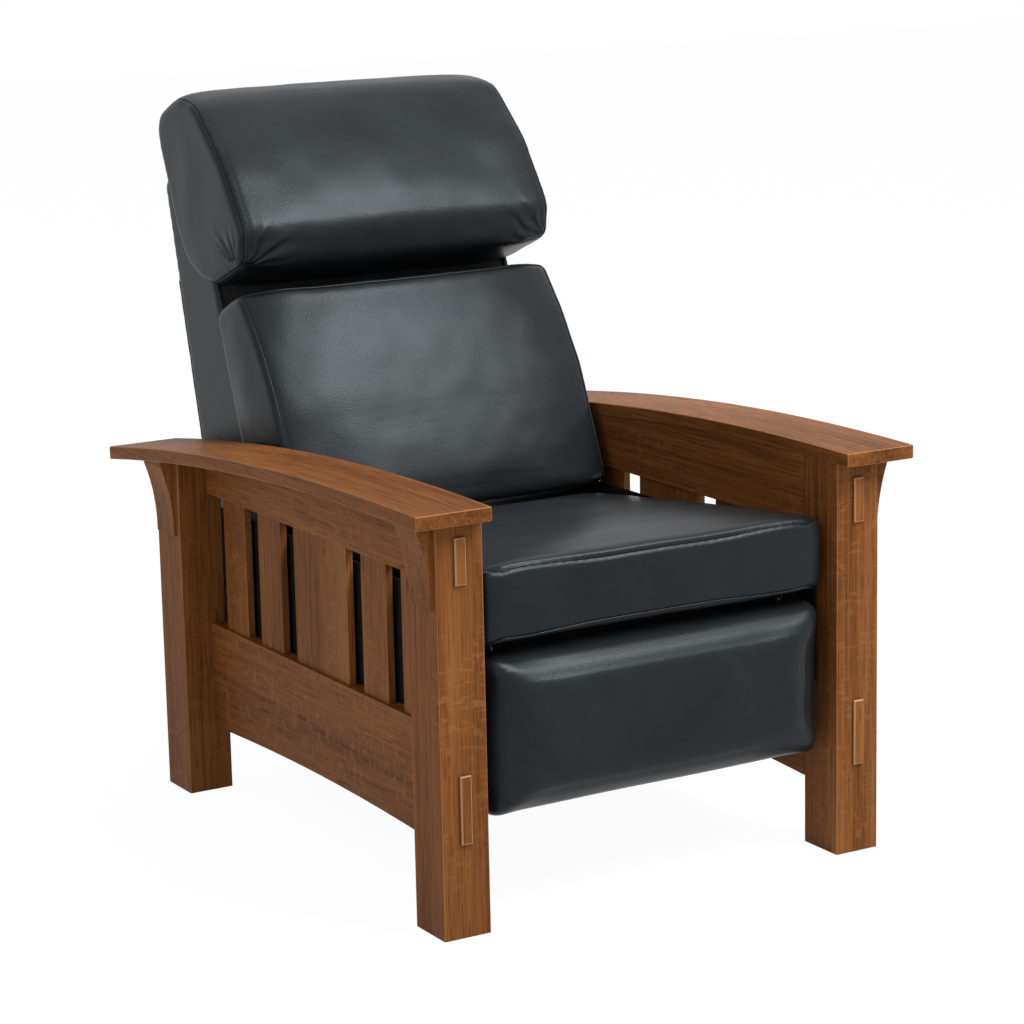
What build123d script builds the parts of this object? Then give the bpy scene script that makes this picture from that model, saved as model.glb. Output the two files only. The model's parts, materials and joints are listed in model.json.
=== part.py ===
from build123d import *
import math
import os

# A mission style reclining armchair that opens by pushing back on it.
# All lengths are millimetres. X runs to the viewer's right, Y runs to the back, Z runs up.
# While it is drawn, Y is zero at the front faces of the front legs and Z is zero on the floor.
# At the end every piece moves along Y, so that the origin lies under the middle of the chair.
# Left and right are the viewer's, seen from the front of the chair.

# Clearances
glue_line = 0.3             # between the curved underside of an arm and what stands under it
mortise_clearance = 0.2     # round a tenon in its mortise
soft_gap = 0.4              # between a cushion and what it lies against
fit_clearance = 0.05        # radial, of a shaft or rod in the part that is fixed on it
pin_clearance = 0.3         # radial, of a pin in the link that turns on it
open_pin_clearance = 0.6    # radial, at the pivots that close the linkage
cut_overrun = 5

# Side frames
leg_side_gap = 26           # between the seat side rails and the legs
leg_width = 76
leg_depth = 84
rear_leg_gap = 200          # of the rear legs' fronts, behind the seat side rails
leg_edge_round = 2.5
arm_crown_height = 628
arm_crown_setback = 100     # place of the highest point of the arms, behind the leg fronts
arm_bow_radius = 6000
arm_thickness = 21
arm_width = 121.4
arm_inner_overhang = 1      # of the arm past the inner faces of the legs
arm_front_overhang = 28
arm_rear_overhang = 81
arm_edge_round = 2.5
corbel_thickness = 65
corbel_reach = 24
corbel_height = 124
corbel_lip = 9.5
corbel_toe = 5
corbel_hollow = 5.5         # depth of the hollow under the straight line from lip to toe
rail_thickness = 26
rail_edge_round = 1.5
lower_rail_lap = 19         # of the lower side rails over the seat side rails' undersides
lower_rail_bottom = 106
lower_rail_arch = 11.5
upper_rail_bottom = 497
rail_tenon_thickness = 12
rail_tenon_length = 35
rail_tenon_shoulder = 15
upper_tenon_drop = 26       # of the upper rail's tenon, below the arm
slat_thickness = 12
narrow_slat_width = 77
wide_slat_width = 173
slat_tenon = 8
slat_edge_round = 1
narrow_slats_per_end = 2
dowel_radius = 5
dowel_in_leg = 22
dowel_in_arm = 11
dowel_spacing = 40
block_width = 18
block_proud = 5
block_depth_in_leg = 20
block_chamfer = 2
upper_block_bottom = 515
upper_block_height = 68
lower_block_bottom = 139
lower_block_height = 101
stretcher_thickness = 25
stretcher_height = 80
stretcher_bottom = 110
stretcher_rear_setback = 24     # from the rear faces of the rear legs
stretcher_tenon_thickness = 12
stretcher_tenon_shoulder = 15

# Seat box
seat_rail_thickness = 22
seat_rail_outer_half = 278      # outer faces of the seat side rails, from the middle
seat_rail_height = 143          # at their front ends
seat_rail_front = 70
seat_rail_length = 575
deck_front_height = 405         # top of the seat side rails at their front ends
deck_slope = 6.1                # degrees, down to the back
cross_rail_thickness = 22
cross_rail_height = 62
cross_rail_tenon = 14
cross_rail_shoulder = 12
front_cross_rail_inset = 220    # behind the front ends of the seat side rails
rear_cross_rail_inset = 70      # before the rear ends of the seat side rails
deck_rail_thickness = 25
front_deck_rail_height = 15
rear_deck_rail_height = 45
front_deck_rail_inset = 18      # behind the front ends of the seat side rails
rear_deck_rail_inset = 5
deck_rail_drop = 6              # of the deck rails' tops, below the seat side rails
deck_pad_thickness = 4
deck_pad_inset = 3
lining_thickness = 3            # of the dark boards behind the slats
lining_drop = 62                # of their tops, below the top edge of the seat at its front
lining_floor_gap = 1            # above the cross rails
lining_leg_lap = 32             # of the boards, behind the inner faces of the legs
spring_wire_radius = 1.7
spring_pitch = 24
spring_half_width = 22
seat_spring_spacing = 94
seat_springs_count = 5
spring_rest_gap = 0.3
clip_width = 14
clip_thickness = 1
clip_channel_clearance = 0.2

# Footrest linkage
plate_thickness = 4
plate_edge = 9.5                # of a plate round the holes and slots
plate_height = 72               # of the long middle part of a side plate
plate_drop = 105                # of a side plate's underside, below the front of the deck
plate_nose_inset = 2
plate_top_margin = 3
plate_nose_height = 20
plate_nose_length = 90
link_layer_gap = 1
link_thickness = 4
link_width = 16
link_boss_radius = 9
link_length = 220
link_closed_angle = 83          # degrees, of the first link below a line straight forward
footrest_pivot_inset = 55       # behind the front ends of the seat side rails
footrest_pivot_drop = 37        # below the front of the deck
torque_tube_radius = 8
torque_tube_wall = 1.5
torque_boss_radius = 13
rod_radius = 4
rivet_head_radius = 7
rivet_head_height = 2.5
screw_radius = 2.2
screw_head_radius = 4.5
screw_head_height = 2.6
screw_depth = 12
screw_fit = 0.2
nose_screw_inset = 9
nose_screw_drop = 12
plate_screw_shares = (0.28, 0.52, 0.76)     # of the seat rail's length
tube_end_gap = 0.5                          # between a rod's end and the seat rail
board_screw_shares = (0.15, 0.5, 0.85)      # of the bracket flange's height
board_screw_edge = 2.4                      # of the flange, beside a screw's head
bracket_flange_width = 22
bracket_flange_thickness = 4
bracket_flange_height = 150
bracket_flange_drop = 20        # of the flange's top, below the bracket's upper pivot

# Footrest panel
footrest_side_overhang = 12     # past the outer faces of the seat side rails
footrest_height = 240
footrest_top_drop = 8           # below the front of the deck
footrest_front = 0
footrest_thickness = 62
footrest_corner_radius = 20
footrest_crown_inset = 62       # how far the flat of the front is drawn in from the edges
footrest_profile_shares = ((0, 1), (0.06, 0.5), (0.16, 0.24), (0.32, 0.08), (0.56, 0), (1, 0.03))
board_thickness = 15
board_inset = 21
board_proud = 2                 # of the board, behind the pad
board_corner_radius = 14

# Seat cushion
cushion_side_overhang = 7       # of back cushion and headrest, past the outer faces of the seat side rails
seat_side_overhang = 14         # of the seat cushion
seat_front_overhang = 58        # before the front ends of the seat side rails
seat_rear_inset = 33            # before the rear ends of the seat side rails
seat_edge_rise = 126            # of the top edge at the front, above the front of the deck
seat_edge_slope = 6.4           # degrees, of the top edge down to the back
seat_crown = 9
seat_front_bulge = 5
seat_corner_radius = 16
seat_bottom_radius = 14
seat_rear_radius = 26
seat_end_pull = 8               # how far the ends are drawn in
seat_crown_shares = (0.3, 0.66) # of the depth, where the crown starts and ends
seat_front_round_share = 0.33   # radius of the rounded front, as a share of the depth

# Cross sections of the stuffed pieces
end_fullness_share = 0.2        # of the crown that is left at the ends
crown_power = 2.5
end_pull_start_share = 0.85     # of the half width, where the ends start to draw in
end_pull_power = 1.8
station_shares = (-1, -0.96, -0.85, -0.5, 0, 0.5, 0.85, 0.96, 1)

# Backrest
back_pivot_gap = 55             # behind the seat side rails
back_pivot_drop = 25            # below the front of the deck
shell_side_inset = 4            # from the outer faces of the seat side rails
shell_wall = 10
shell_drop = 105                # of the shell's bottom, below the front of the deck
shell_height = 686
shell_gap = 55                  # of the shell's bottom, behind the seat side rails
shell_front_lean = 20.65        # degrees
shell_depth_at_bottom = 214
shell_rear_lean = 13.85         # degrees
shell_top_drop = 6              # of the shell's top at its front
shell_corner_radius = 20
stile_thickness = 18
stile_front_gap = 13            # behind the front edges of the shell
stile_rise = 45                 # above the shell's bottom
back_rail_thickness = 22
back_rail_height = 60
lower_back_rail_rise = 100      # above the shell's bottom
upper_back_rail_rise = 550
back_spring_spacing = 110
back_springs_count = 4
back_pad_thickness = 4
back_pad_inset = 4              # from the hinge brackets
back_pad_overlap = 28           # past the ends of the back springs
hinge_bracket_thickness = 4
hinge_boss_radius = 20
hinge_bracket_height = 170
hinge_bracket_width = 40
hinge_bracket_rise = 95         # above the shell's bottom
bracket_screw_shares = (0.45, 0.68, 0.9)    # of the hinge bracket's height
bracket_waist_share = 0.33
pivot_radius = 6
pivot_head_radius = 9
pivot_head_height = 5
pivot_shoulder_radius = 8
coil_wire_radius = 1.75
coil_turns = 4
coil_steps_per_turn = 4
gap_samples = 64                # points of a turn where the gap to the next is measured
coil_gap = 0.7                  # between the turns of a coil
coil_play = 0.5                 # of the coil round the pivot's shoulder
coil_inset = 3                  # of the coil from the hinge bracket

# Back cushion
back_cushion_rise = 35          # above the front of the deck
back_cushion_height = 392
back_cushion_lap = 63           # of its front, over the rear ends of the seat side rails
back_cushion_depth = 302
back_cushion_corner_radius = 20
back_middle_shares = ((0.003, 0.102), (0.255, 0.579), (0.414, 0.8), (0.556, 1))
back_end_shares = ((0.05, 0.112), (0.295, 0.579), (0.47, 0.8), (0.682, 0.992))
back_top_rear_share = 0.888
back_step_shares = ((0.24, 0), (0.152, 0.087))
back_low_corner_share = 0.7

# Headrest
headrest_setback = 121          # of its front, behind the seat side rails
headrest_depth = 318
headrest_drop = 171             # of its bottom, below the shell's top
headrest_height = 312
headrest_crown_share = 0.03
headrest_end_pull_share = 0.045
headrest_corner_shares = (
    (0.006, 0.353, 0.13),
    (0.233, 0.689, 1.0),
    (0.531, 0.971, 0.2),
    (0.736, 1.0, 0.2),
    (0.987, 0.885, 0.11),
    (1.0, 0.753, 0.28),
    (0.799, 0.24, 0.5),
    (0.689, 0.096, 0.2),
    (0.437, 0.0, 0.26),
    (0.028, 0.163, 0.07),
)

# Worked out from the sizes above
seat_rail_bottom = deck_front_height - seat_rail_height
seat_rail_rear = seat_rail_front + seat_rail_length
leg_inner = seat_rail_outer_half + leg_side_gap
leg_outer = leg_inner + leg_width
rear_leg_front = seat_rail_rear + rear_leg_gap
leg_setback = rear_leg_front - leg_depth
lower_rail_top = seat_rail_bottom + lower_rail_lap
front_cross_rail_setback = seat_rail_front + front_cross_rail_inset
rear_cross_rail_setback = seat_rail_rear - rear_cross_rail_inset
plate_bottom = deck_front_height - plate_drop
footrest_pivot_setback = seat_rail_front + footrest_pivot_inset
footrest_pivot_height = deck_front_height - footrest_pivot_drop
footrest_half_width = seat_rail_outer_half + footrest_side_overhang
footrest_top = deck_front_height - footrest_top_drop
footrest_bottom = footrest_top - footrest_height
cushion_half_width = seat_rail_outer_half + cushion_side_overhang
seat_half_width = seat_rail_outer_half + seat_side_overhang
seat_front = seat_rail_front - seat_front_overhang
seat_rear = seat_rail_rear - seat_rear_inset
seat_front_height = deck_front_height + seat_edge_rise
back_pivot_setback = seat_rail_rear + back_pivot_gap
back_pivot_height = deck_front_height - back_pivot_drop
shell_half_width = seat_rail_outer_half - shell_side_inset
shell_bottom = deck_front_height - shell_drop
shell_top = shell_bottom + shell_height
shell_front_at_bottom = seat_rail_rear + shell_gap
shell_rear_at_bottom = shell_front_at_bottom + shell_depth_at_bottom
stile_bottom = shell_bottom + stile_rise
lower_back_rail_bottom = shell_bottom + lower_back_rail_rise
upper_back_rail_bottom = shell_bottom + upper_back_rail_rise
hinge_bracket_bottom = shell_bottom + hinge_bracket_rise
back_cushion_bottom = deck_front_height + back_cushion_rise
back_cushion_front = seat_rail_rear - back_cushion_lap
headrest_front = seat_rail_rear + headrest_setback
headrest_bottom = shell_top - headrest_drop
rear_leg_rear = rear_leg_front + leg_depth
leg_middle = (leg_inner + leg_outer) / 2
arm_inner = leg_inner - arm_inner_overhang
arm_outer = arm_inner + arm_width
arm_front = -arm_front_overhang
arm_rear = rear_leg_rear + arm_rear_overhang
arm_bow_centre = arm_crown_height - arm_bow_radius
rail_inner = leg_inner
rail_outer = leg_inner + rail_thickness
rail_middle = (rail_inner + rail_outer) / 2
deck_slope_ratio = math.tan(math.radians(deck_slope))
seat_rail_inner = seat_rail_outer_half - seat_rail_thickness
plate_inner = seat_rail_inner - plate_thickness
layer_one = (plate_inner - link_layer_gap - link_thickness, plate_inner - link_layer_gap)
layer_two = (layer_one[0] - link_layer_gap - link_thickness, layer_one[0] - link_layer_gap)
frame_plane_lean = math.tan(math.radians(shell_front_lean))
rear_plane_lean = math.tan(math.radians(shell_rear_lean))
bracket_inner = plate_inner - link_layer_gap - hinge_bracket_thickness
stile_outer = bracket_inner
stile_inner = stile_outer - stile_thickness


def arm_top_z(y):
    """Height of the bowed top of the arms."""
    return arm_bow_centre + math.sqrt(arm_bow_radius**2 - (y - arm_crown_setback) ** 2)


def arm_underside_z(y, gap=0):
    """Height of the bowed underside of the arms, or of a bow a little way under it."""
    radius = arm_bow_radius - arm_thickness - gap
    return arm_bow_centre + math.sqrt(radius**2 - (y - arm_crown_setback) ** 2)


def seat_rail_top_z(y):
    """Height of the sloping tops of the seat side rails."""
    return deck_front_height - (y - seat_rail_front) * deck_slope_ratio


def shell_front_y(z):
    """Place of the leaning front edges of the back's shell at a height."""
    return shell_front_at_bottom + (z - shell_bottom) * frame_plane_lean


def shell_rear_y(z):
    """Place of the leaning rear face of the back's shell at a height."""
    return shell_rear_at_bottom + (z - shell_bottom) * rear_plane_lean


def block(x_range, y_range, z_range):
    """A box between two X, two Y and two Z values."""
    spans = [high - low for low, high in (x_range, y_range, z_range)]
    middles = [(low + high) / 2 for low, high in (x_range, y_range, z_range)]
    return Pos(*middles) * Box(*spans)


def rod(radius, x_range, y, z):
    """A round bar along X."""
    middle = (x_range[0] + x_range[1]) / 2
    return Pos(middle, y, z) * Rot(0, 90, 0) * Cylinder(radius, x_range[1] - x_range[0])


def slab(outline, x_range):
    """A side-view outline, given as (Y, Z) edges, with its thickness along X."""
    face = Plane.YZ.offset(x_range[0]) * make_face(outline)
    return extrude(face, amount=x_range[1] - x_range[0])


def straight_outline(points):
    """Edges of a polygon."""
    return Polyline(*points, close=True).edges()


def rounded_outline(points, radii):
    """Edges of a polygon whose corners are tangent arcs."""
    corners = []
    for index, point in enumerate(points):
        here = Vector(*point)
        before = Vector(*points[index - 1])
        after = Vector(*points[(index + 1) % len(points)])
        way_in = (here - before).normalized()
        way_out = (after - here).normalized()
        half_turn = math.radians(way_in.get_angle(way_out)) / 2
        reach = radii[index] * math.tan(half_turn)
        inward = (way_out - way_in).normalized()
        sagitta = radii[index] / math.cos(half_turn) - radii[index]
        corners.append((here - way_in * reach, here + inward * sagitta, here + way_out * reach))
    edges = []
    for index, (start, middle, end) in enumerate(corners):
        edges.append(Edge.make_line(corners[index - 1][2], start))
        edges.append(Edge.make_three_point_arc(start, middle, end))
    return edges


def capsule_outline(start, end, start_radius, end_radius):
    """Edges of a link: a round boss at each end and straight sides between them."""
    first = Pos(*start) * Circle(start_radius)
    second = Pos(*end) * Circle(end_radius)
    along = (Vector(*end) - Vector(*start)).normalized()
    across = Vector(-along.Y, along.X) * (link_width / 2)
    sides = [Vector(*start) + across, Vector(*end) + across]
    sides += [Vector(*end) - across, Vector(*start) - across]
    web = make_face(Polyline(*sides, close=True))
    return (first + second + web).faces()[0]


def link(start, end, x_range, holes, start_radius=link_boss_radius):
    """A flat steel link with round holes, each given as a (Y, Z) place and a radius."""
    face = capsule_outline(start, end, start_radius, link_boss_radius)
    for place, radius in holes:
        face = face - Pos(*place) * Circle(radius)
    return extrude(Plane.YZ.offset(x_range[0]) * face, amount=x_range[1] - x_range[0])


def mirrored(shape):
    """The same piece for the other side of the chair."""
    return mirror(shape, about=Plane.YZ)


def both_sides(shape):
    """A piece and its mirror image."""
    return [shape, mirrored(shape)]


def save(name, *shapes):
    """Keep the separate solids of a node."""
    solids = []
    for shape in shapes:
        for item in shape if isinstance(shape, (list, tuple)) else [shape]:
            solids.extend(item.solids())
    nodes[name] = solids


def save_pair(name, shape):
    """Keep a right-hand piece and its left-hand mirror image under two names."""
    save(f"{name}_right", shape)
    save(f"{name}_left", mirrored(Compound(shape.solids())))


nodes = {}

# Side frames: legs


def under_arm(x_range, y_range, bottom, gap=glue_line):
    """An upright piece whose top follows the arm's underside."""
    front, rear = y_range
    middle = (front + rear) / 2
    corner_front = (front, arm_underside_z(front, gap))
    corner_rear = (rear, arm_underside_z(rear, gap))
    sides = Polyline(corner_front, (front, bottom), (rear, bottom), corner_rear)
    top = ThreePointArc(corner_rear, (middle, arm_underside_z(middle, gap)), corner_front)
    return slab(sides.edges() + top.edges(), x_range)


def rail_tenon_block(leg_face, direction, z_range, clearance=0):
    """A rail's tenon where it enters a leg, or with a clearance the mortise for it."""
    half = rail_tenon_thickness / 2 + clearance
    deep = leg_face + direction * (rail_tenon_length + clearance)
    near = leg_face - direction * clearance
    heights = (z_range[0] - clearance, z_range[1] + clearance)
    return block((rail_middle - half, rail_middle + half), sorted((near, deep)), heights)


def tenon_heights(leg_face):
    """Heights of the lower and the upper rail's tenons at a leg."""
    lower = (lower_rail_bottom + rail_tenon_shoulder, lower_rail_top - rail_tenon_shoulder)
    upper = (upper_rail_bottom + rail_tenon_shoulder, arm_underside_z(leg_face) - upper_tenon_drop)
    return lower, upper


def tenon_block_box(z_range, clearance=0):
    """Box of a show tenon in a front leg's front face, or with a clearance its mortise."""
    half = block_width / 2 + clearance
    heights = (z_range[0] - clearance, z_range[1] + clearance)
    return block((leg_middle - half, leg_middle + half), (-block_proud, block_depth_in_leg), heights)


block_height_ranges = (
    (upper_block_bottom, upper_block_bottom + upper_block_height),
    (lower_block_bottom, lower_block_bottom + lower_block_height),
)


def dowels(clearance=0):
    """Dowels between an arm and its two legs, or with a clearance the holes for them."""
    pins = []
    for leg_front in (0, rear_leg_front):
        for side in (-1, 1):
            y = leg_front + leg_depth / 2 + side * dowel_spacing / 2
            foot = arm_underside_z(y) - dowel_in_leg - clearance
            length = dowel_in_leg + dowel_in_arm + 2 * clearance
            pin = Cylinder(dowel_radius + clearance, length, align=(Align.CENTER, Align.CENTER, Align.MIN))
            pins.append(Pos(leg_middle, y, foot) * pin)
    return pins


stretcher_rear = rear_leg_rear - stretcher_rear_setback
stretcher_front = stretcher_rear - stretcher_thickness


def stretcher_tenon(clearance=0):
    """Right-hand tenon of the rear stretcher, or with a clearance the mortise for it."""
    middle = (stretcher_front + stretcher_rear) / 2
    half = stretcher_tenon_thickness / 2 + clearance
    bottom = stretcher_bottom + stretcher_tenon_shoulder - clearance
    top = stretcher_bottom + stretcher_height - stretcher_tenon_shoulder + clearance
    reach = leg_inner + rail_tenon_length + clearance
    return block((leg_inner - clearance, reach), (middle - half, middle + half), (bottom, top))


def leg(leg_front, rail_face, direction):
    """A right-hand leg with its mortises, before the holes that only some legs have."""
    shape = under_arm((leg_inner, leg_outer), (leg_front, leg_front + leg_depth), 0)
    shape = fillet(shape.edges().filter_by(Axis.Z), leg_edge_round)
    for heights in tenon_heights(rail_face):
        shape -= rail_tenon_block(rail_face, direction, heights, mortise_clearance)
    for hole in dowels(mortise_clearance):
        shape -= hole
    return shape


front_leg = leg(0, leg_depth, -1)
for heights in block_height_ranges:
    front_leg -= tenon_block_box(heights, mortise_clearance)
save_pair("front_leg", front_leg)
rear_leg = leg(rear_leg_front, rear_leg_front, 1) - stretcher_tenon(mortise_clearance)
save_pair("rear_leg", rear_leg)
dowel_pins = dowels()
save("arm_dowels", dowel_pins, [mirrored(pin) for pin in dowel_pins])


def tenon_block(z_range):
    """A show tenon: a short block with chamfered front edges."""
    shape = tenon_block_box(z_range)
    front_face = shape.faces().sort_by(Axis.Y)[0]
    return chamfer(front_face.edges(), block_chamfer)


right_blocks = [tenon_block(heights) for heights in block_height_ranges]
save("tenon_blocks", right_blocks, [mirrored(item) for item in right_blocks])

# Side frames: arms and corbels


def arm():
    """A bowed arm board, square at both ends."""
    middle = (arm_front + arm_rear) / 2
    top = ThreePointArc(
        (arm_front, arm_top_z(arm_front)), (middle, arm_top_z(middle)), (arm_rear, arm_top_z(arm_rear))
    )
    bottom = ThreePointArc(
        (arm_rear, arm_underside_z(arm_rear)),
        (middle, arm_underside_z(middle)),
        (arm_front, arm_underside_z(arm_front)),
    )
    ends = Line(top @ 1, bottom @ 0).edges() + Line(bottom @ 1, top @ 0).edges()
    shape = slab(top.edges() + bottom.edges() + ends, (arm_inner, arm_outer))
    shape = fillet(shape.edges(), arm_edge_round)
    for hole in dowels(mortise_clearance):
        shape -= hole
    return shape


save_pair("arm", arm())


def corbel(leg_front):
    """A bracket under the arm, on the outer face of a leg."""
    middle = leg_front + leg_depth / 2
    y_range = (middle - corbel_thickness / 2, middle + corbel_thickness / 2)
    top = arm_underside_z(middle)
    lip = (leg_outer + corbel_reach, top - corbel_lip)
    toe = (leg_outer + corbel_toe, top - corbel_height)
    chord = Vector(*toe) - Vector(*lip)
    inward = Vector(chord.Y, -chord.X).normalized()
    hollow = (Vector(*lip) + Vector(*toe)) / 2 + inward * corbel_hollow
    above = top + corbel_lip
    straight = Polyline(toe, (leg_outer, toe[1]), (leg_outer, above), (lip[0], above), lip)
    face = make_face(straight.edges() + ThreePointArc(lip, hollow, toe).edges())
    plane = Plane(origin=(0, y_range[0], 0), x_dir=(1, 0, 0), z_dir=(0, -1, 0))
    shape = extrude(plane * face, amount=-corbel_thickness)
    return shape & under_arm((leg_outer, arm_outer), y_range, toe[1] - cut_overrun)


right_corbels = [corbel(0), corbel(rear_leg_front)]
save("corbels", right_corbels, [mirrored(item) for item in right_corbels])

# Side frames: rails and slats

slat_gap = (
    leg_setback - 2 * narrow_slats_per_end * narrow_slat_width - wide_slat_width
) / (2 * narrow_slats_per_end + 2)
slat_widths = [narrow_slat_width] * narrow_slats_per_end
slat_widths += [wide_slat_width] + [narrow_slat_width] * narrow_slats_per_end


def slat_places():
    """Front and rear edge of each slat, from the front leg to the rear one."""
    places = []
    front = leg_depth + slat_gap
    for width in slat_widths:
        places.append((front, front + width))
        front += width + slat_gap
    return places


def slat(y_range, clearance=0):
    """A slat with its stub tenons, or with a clearance the space for it in the rails."""
    half = slat_thickness / 2 + clearance
    heights = (lower_rail_top - slat_tenon - clearance, upper_rail_bottom + slat_tenon + clearance)
    along = (y_range[0] - clearance, y_range[1] + clearance)
    return block((rail_middle - half, rail_middle + half), along, heights)


def with_rail_tenons(shape, heights):
    """A rail with a tenon at each end."""
    shape += rail_tenon_block(leg_depth, -1, heights[0])
    return shape + rail_tenon_block(rear_leg_front, 1, heights[1])


def cross_rail_tenon_box(front, clearance=0):
    """Right-hand tenon of a cross rail, or with a clearance the mortise for it."""
    bottom = seat_rail_bottom - cross_rail_height + cross_rail_shoulder - clearance
    top = seat_rail_bottom - cross_rail_shoulder + clearance
    reach = rail_inner + cross_rail_tenon + clearance
    y_range = (front - clearance, front + cross_rail_thickness + clearance)
    return block((rail_inner - clearance, reach), y_range, (bottom, top))


def lower_side_rail():
    """The deep lower rail, arched along its bottom edge."""
    middle = (leg_depth + rear_leg_front) / 2
    front_foot = (leg_depth, lower_rail_bottom)
    rear_foot = (rear_leg_front, lower_rail_bottom)
    arch = ThreePointArc(front_foot, (middle, lower_rail_bottom + lower_rail_arch), rear_foot)
    rest = Polyline(rear_foot, (rear_leg_front, lower_rail_top), (leg_depth, lower_rail_top), front_foot)
    shape = slab(arch.edges() + rest.edges(), (rail_inner, rail_outer))
    top_edges = shape.edges().filter_by(Axis.Y)
    shape = fillet(top_edges, rail_edge_round)
    shape = with_rail_tenons(shape, (tenon_heights(leg_depth)[0], tenon_heights(rear_leg_front)[0]))
    for place in slat_places():
        shape -= slat(place, mortise_clearance)
    for front in (front_cross_rail_setback, rear_cross_rail_setback):
        shape -= cross_rail_tenon_box(front, mortise_clearance)
    return shape


def upper_side_rail():
    """The upper rail, straight below and bowed above to follow the arm."""
    shape = under_arm((rail_inner, rail_outer), (leg_depth, rear_leg_front), upper_rail_bottom)
    bottom_edges = shape.edges().filter_by(Axis.Y)
    shape = fillet(bottom_edges, rail_edge_round)
    shape = with_rail_tenons(shape, (tenon_heights(leg_depth)[1], tenon_heights(rear_leg_front)[1]))
    for place in slat_places():
        shape -= slat(place, mortise_clearance)
    return shape


def finished_slat(place):
    """A slat with its long edges eased."""
    shape = slat(place)
    return fillet(shape.edges().filter_by(Axis.Z), slat_edge_round)


save_pair("lower_side_rail", lower_side_rail())
save_pair("upper_side_rail", upper_side_rail())
slats = [finished_slat(place) for place in slat_places()]
wide_slat = slats.pop(narrow_slats_per_end)
save("side_slats", slats, [mirrored(item) for item in slats], both_sides(wide_slat))

# Rear stretcher and the cross rails that carry the seat box

stretcher = block(
    (-leg_inner, leg_inner),
    (stretcher_front, stretcher_rear),
    (stretcher_bottom, stretcher_bottom + stretcher_height),
)
save("rear_stretcher", stretcher + stretcher_tenon() + mirrored(stretcher_tenon()))


def cross_rail(front):
    """A rail across the chair, tenoned into the lower side rails."""
    heights = (seat_rail_bottom - cross_rail_height, seat_rail_bottom)
    shape = block((-rail_inner, rail_inner), (front, front + cross_rail_thickness), heights)
    return shape + cross_rail_tenon_box(front) + mirrored(cross_rail_tenon_box(front))


save("front_cross_rail", cross_rail(front_cross_rail_setback))
save("rear_cross_rail", cross_rail(rear_cross_rail_setback))

# Seat box


def screw_along_x(y, z, tip_x, seat_x, fit=0):
    """A screw along X with its head on the inner side, or with a fit the hole for its shank."""
    shank = rod(screw_radius + fit, (seat_x, tip_x), y, z)
    if fit:
        return shank
    head = rod(screw_head_radius, (seat_x - screw_head_height, seat_x), y, z)
    return shank + head


plate_nose_front = seat_rail_front + plate_nose_inset
nose_screw_z = seat_rail_top_z(seat_rail_front) - nose_screw_drop
plate_screw_places = [(seat_rail_front + nose_screw_inset, nose_screw_z)]
for share in plate_screw_shares:
    screw_y = seat_rail_front + share * seat_rail_length
    plate_screw_places.append((screw_y, plate_bottom + plate_edge * 2))

lining_top = seat_front_height - lining_drop
side_lining = block(
    (rail_inner - lining_thickness, rail_inner),
    (leg_depth - lining_leg_lap, rear_leg_front + lining_leg_lap),
    (seat_rail_bottom + lining_floor_gap, lining_top),
)
save("side_linings", both_sides(side_lining))


def seat_side_rail():
    """A side rail of the seat box, with its top sloping down to the back."""
    corners = [
        (seat_rail_front, seat_rail_bottom),
        (seat_rail_rear, seat_rail_bottom),
        (seat_rail_rear, seat_rail_top_z(seat_rail_rear)),
        (seat_rail_front, deck_front_height),
    ]
    shape = slab(straight_outline(corners), (seat_rail_inner, seat_rail_outer_half))
    for y, z in plate_screw_places:
        tip_x = seat_rail_inner + screw_depth + screw_fit
        shape -= screw_along_x(y, z, tip_x, seat_rail_inner, screw_fit)
    return shape


save_pair("seat_side_rail", seat_side_rail())
deck_plane = Plane(
    origin=(0, seat_rail_front, deck_front_height),
    x_dir=(1, 0, 0),
    z_dir=(0, math.sin(math.radians(deck_slope)), math.cos(math.radians(deck_slope))),
)
deck_length = seat_rail_length / math.cos(math.radians(deck_slope))
deck_rail_half = plate_inner - mortise_clearance
front_deck_rail = (front_deck_rail_inset, front_deck_rail_inset + deck_rail_thickness)
rear_deck_rail = (deck_length - rear_deck_rail_inset - deck_rail_thickness, deck_length - rear_deck_rail_inset)


def deck_rail(y_range, height):
    """A rail across the seat box, in the sloping plane of the deck."""
    heights = (-deck_rail_drop - height, -deck_rail_drop)
    return deck_plane * block((-deck_rail_half, deck_rail_half), y_range, heights)


save("front_deck_rail", deck_rail(front_deck_rail, front_deck_rail_height))
save("rear_deck_rail", deck_rail(rear_deck_rail, rear_deck_rail_height))
wire_height = spring_wire_radius + spring_rest_gap - deck_rail_drop


def zigzag_spring(length, half_width):
    """A flat wire spring along +Y: straight runs across it, joined by half turns."""
    runs = 2 * round(length / spring_pitch) + 1
    step = length / (runs - 1)
    bend = step / 2
    straight = half_width - bend
    route = []
    for index in range(runs):
        side = 1 if index % 2 else -1
        y = index * step
        route.append(Edge.make_line((side * straight, y, 0), (-side * straight, y, 0)))
        if index < runs - 1:
            start = (-side * straight, y, 0)
            crest = (-side * (straight + bend), y + bend, 0)
            end = (-side * straight, y + step, 0)
            route.append(Edge.make_three_point_arc(start, crest, end))
    section = Plane(origin=(-straight, 0, 0), z_dir=(1, 0, 0)) * Circle(spring_wire_radius)
    return sweep(section, path=Wire(route))


def row_places(count, spacing):
    """Evenly spaced places across the chair, about its middle."""
    return [(index - (count - 1) / 2) * spacing for index in range(count)]


clip_top = spring_wire_radius * 2 + spring_rest_gap + clip_thickness


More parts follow.
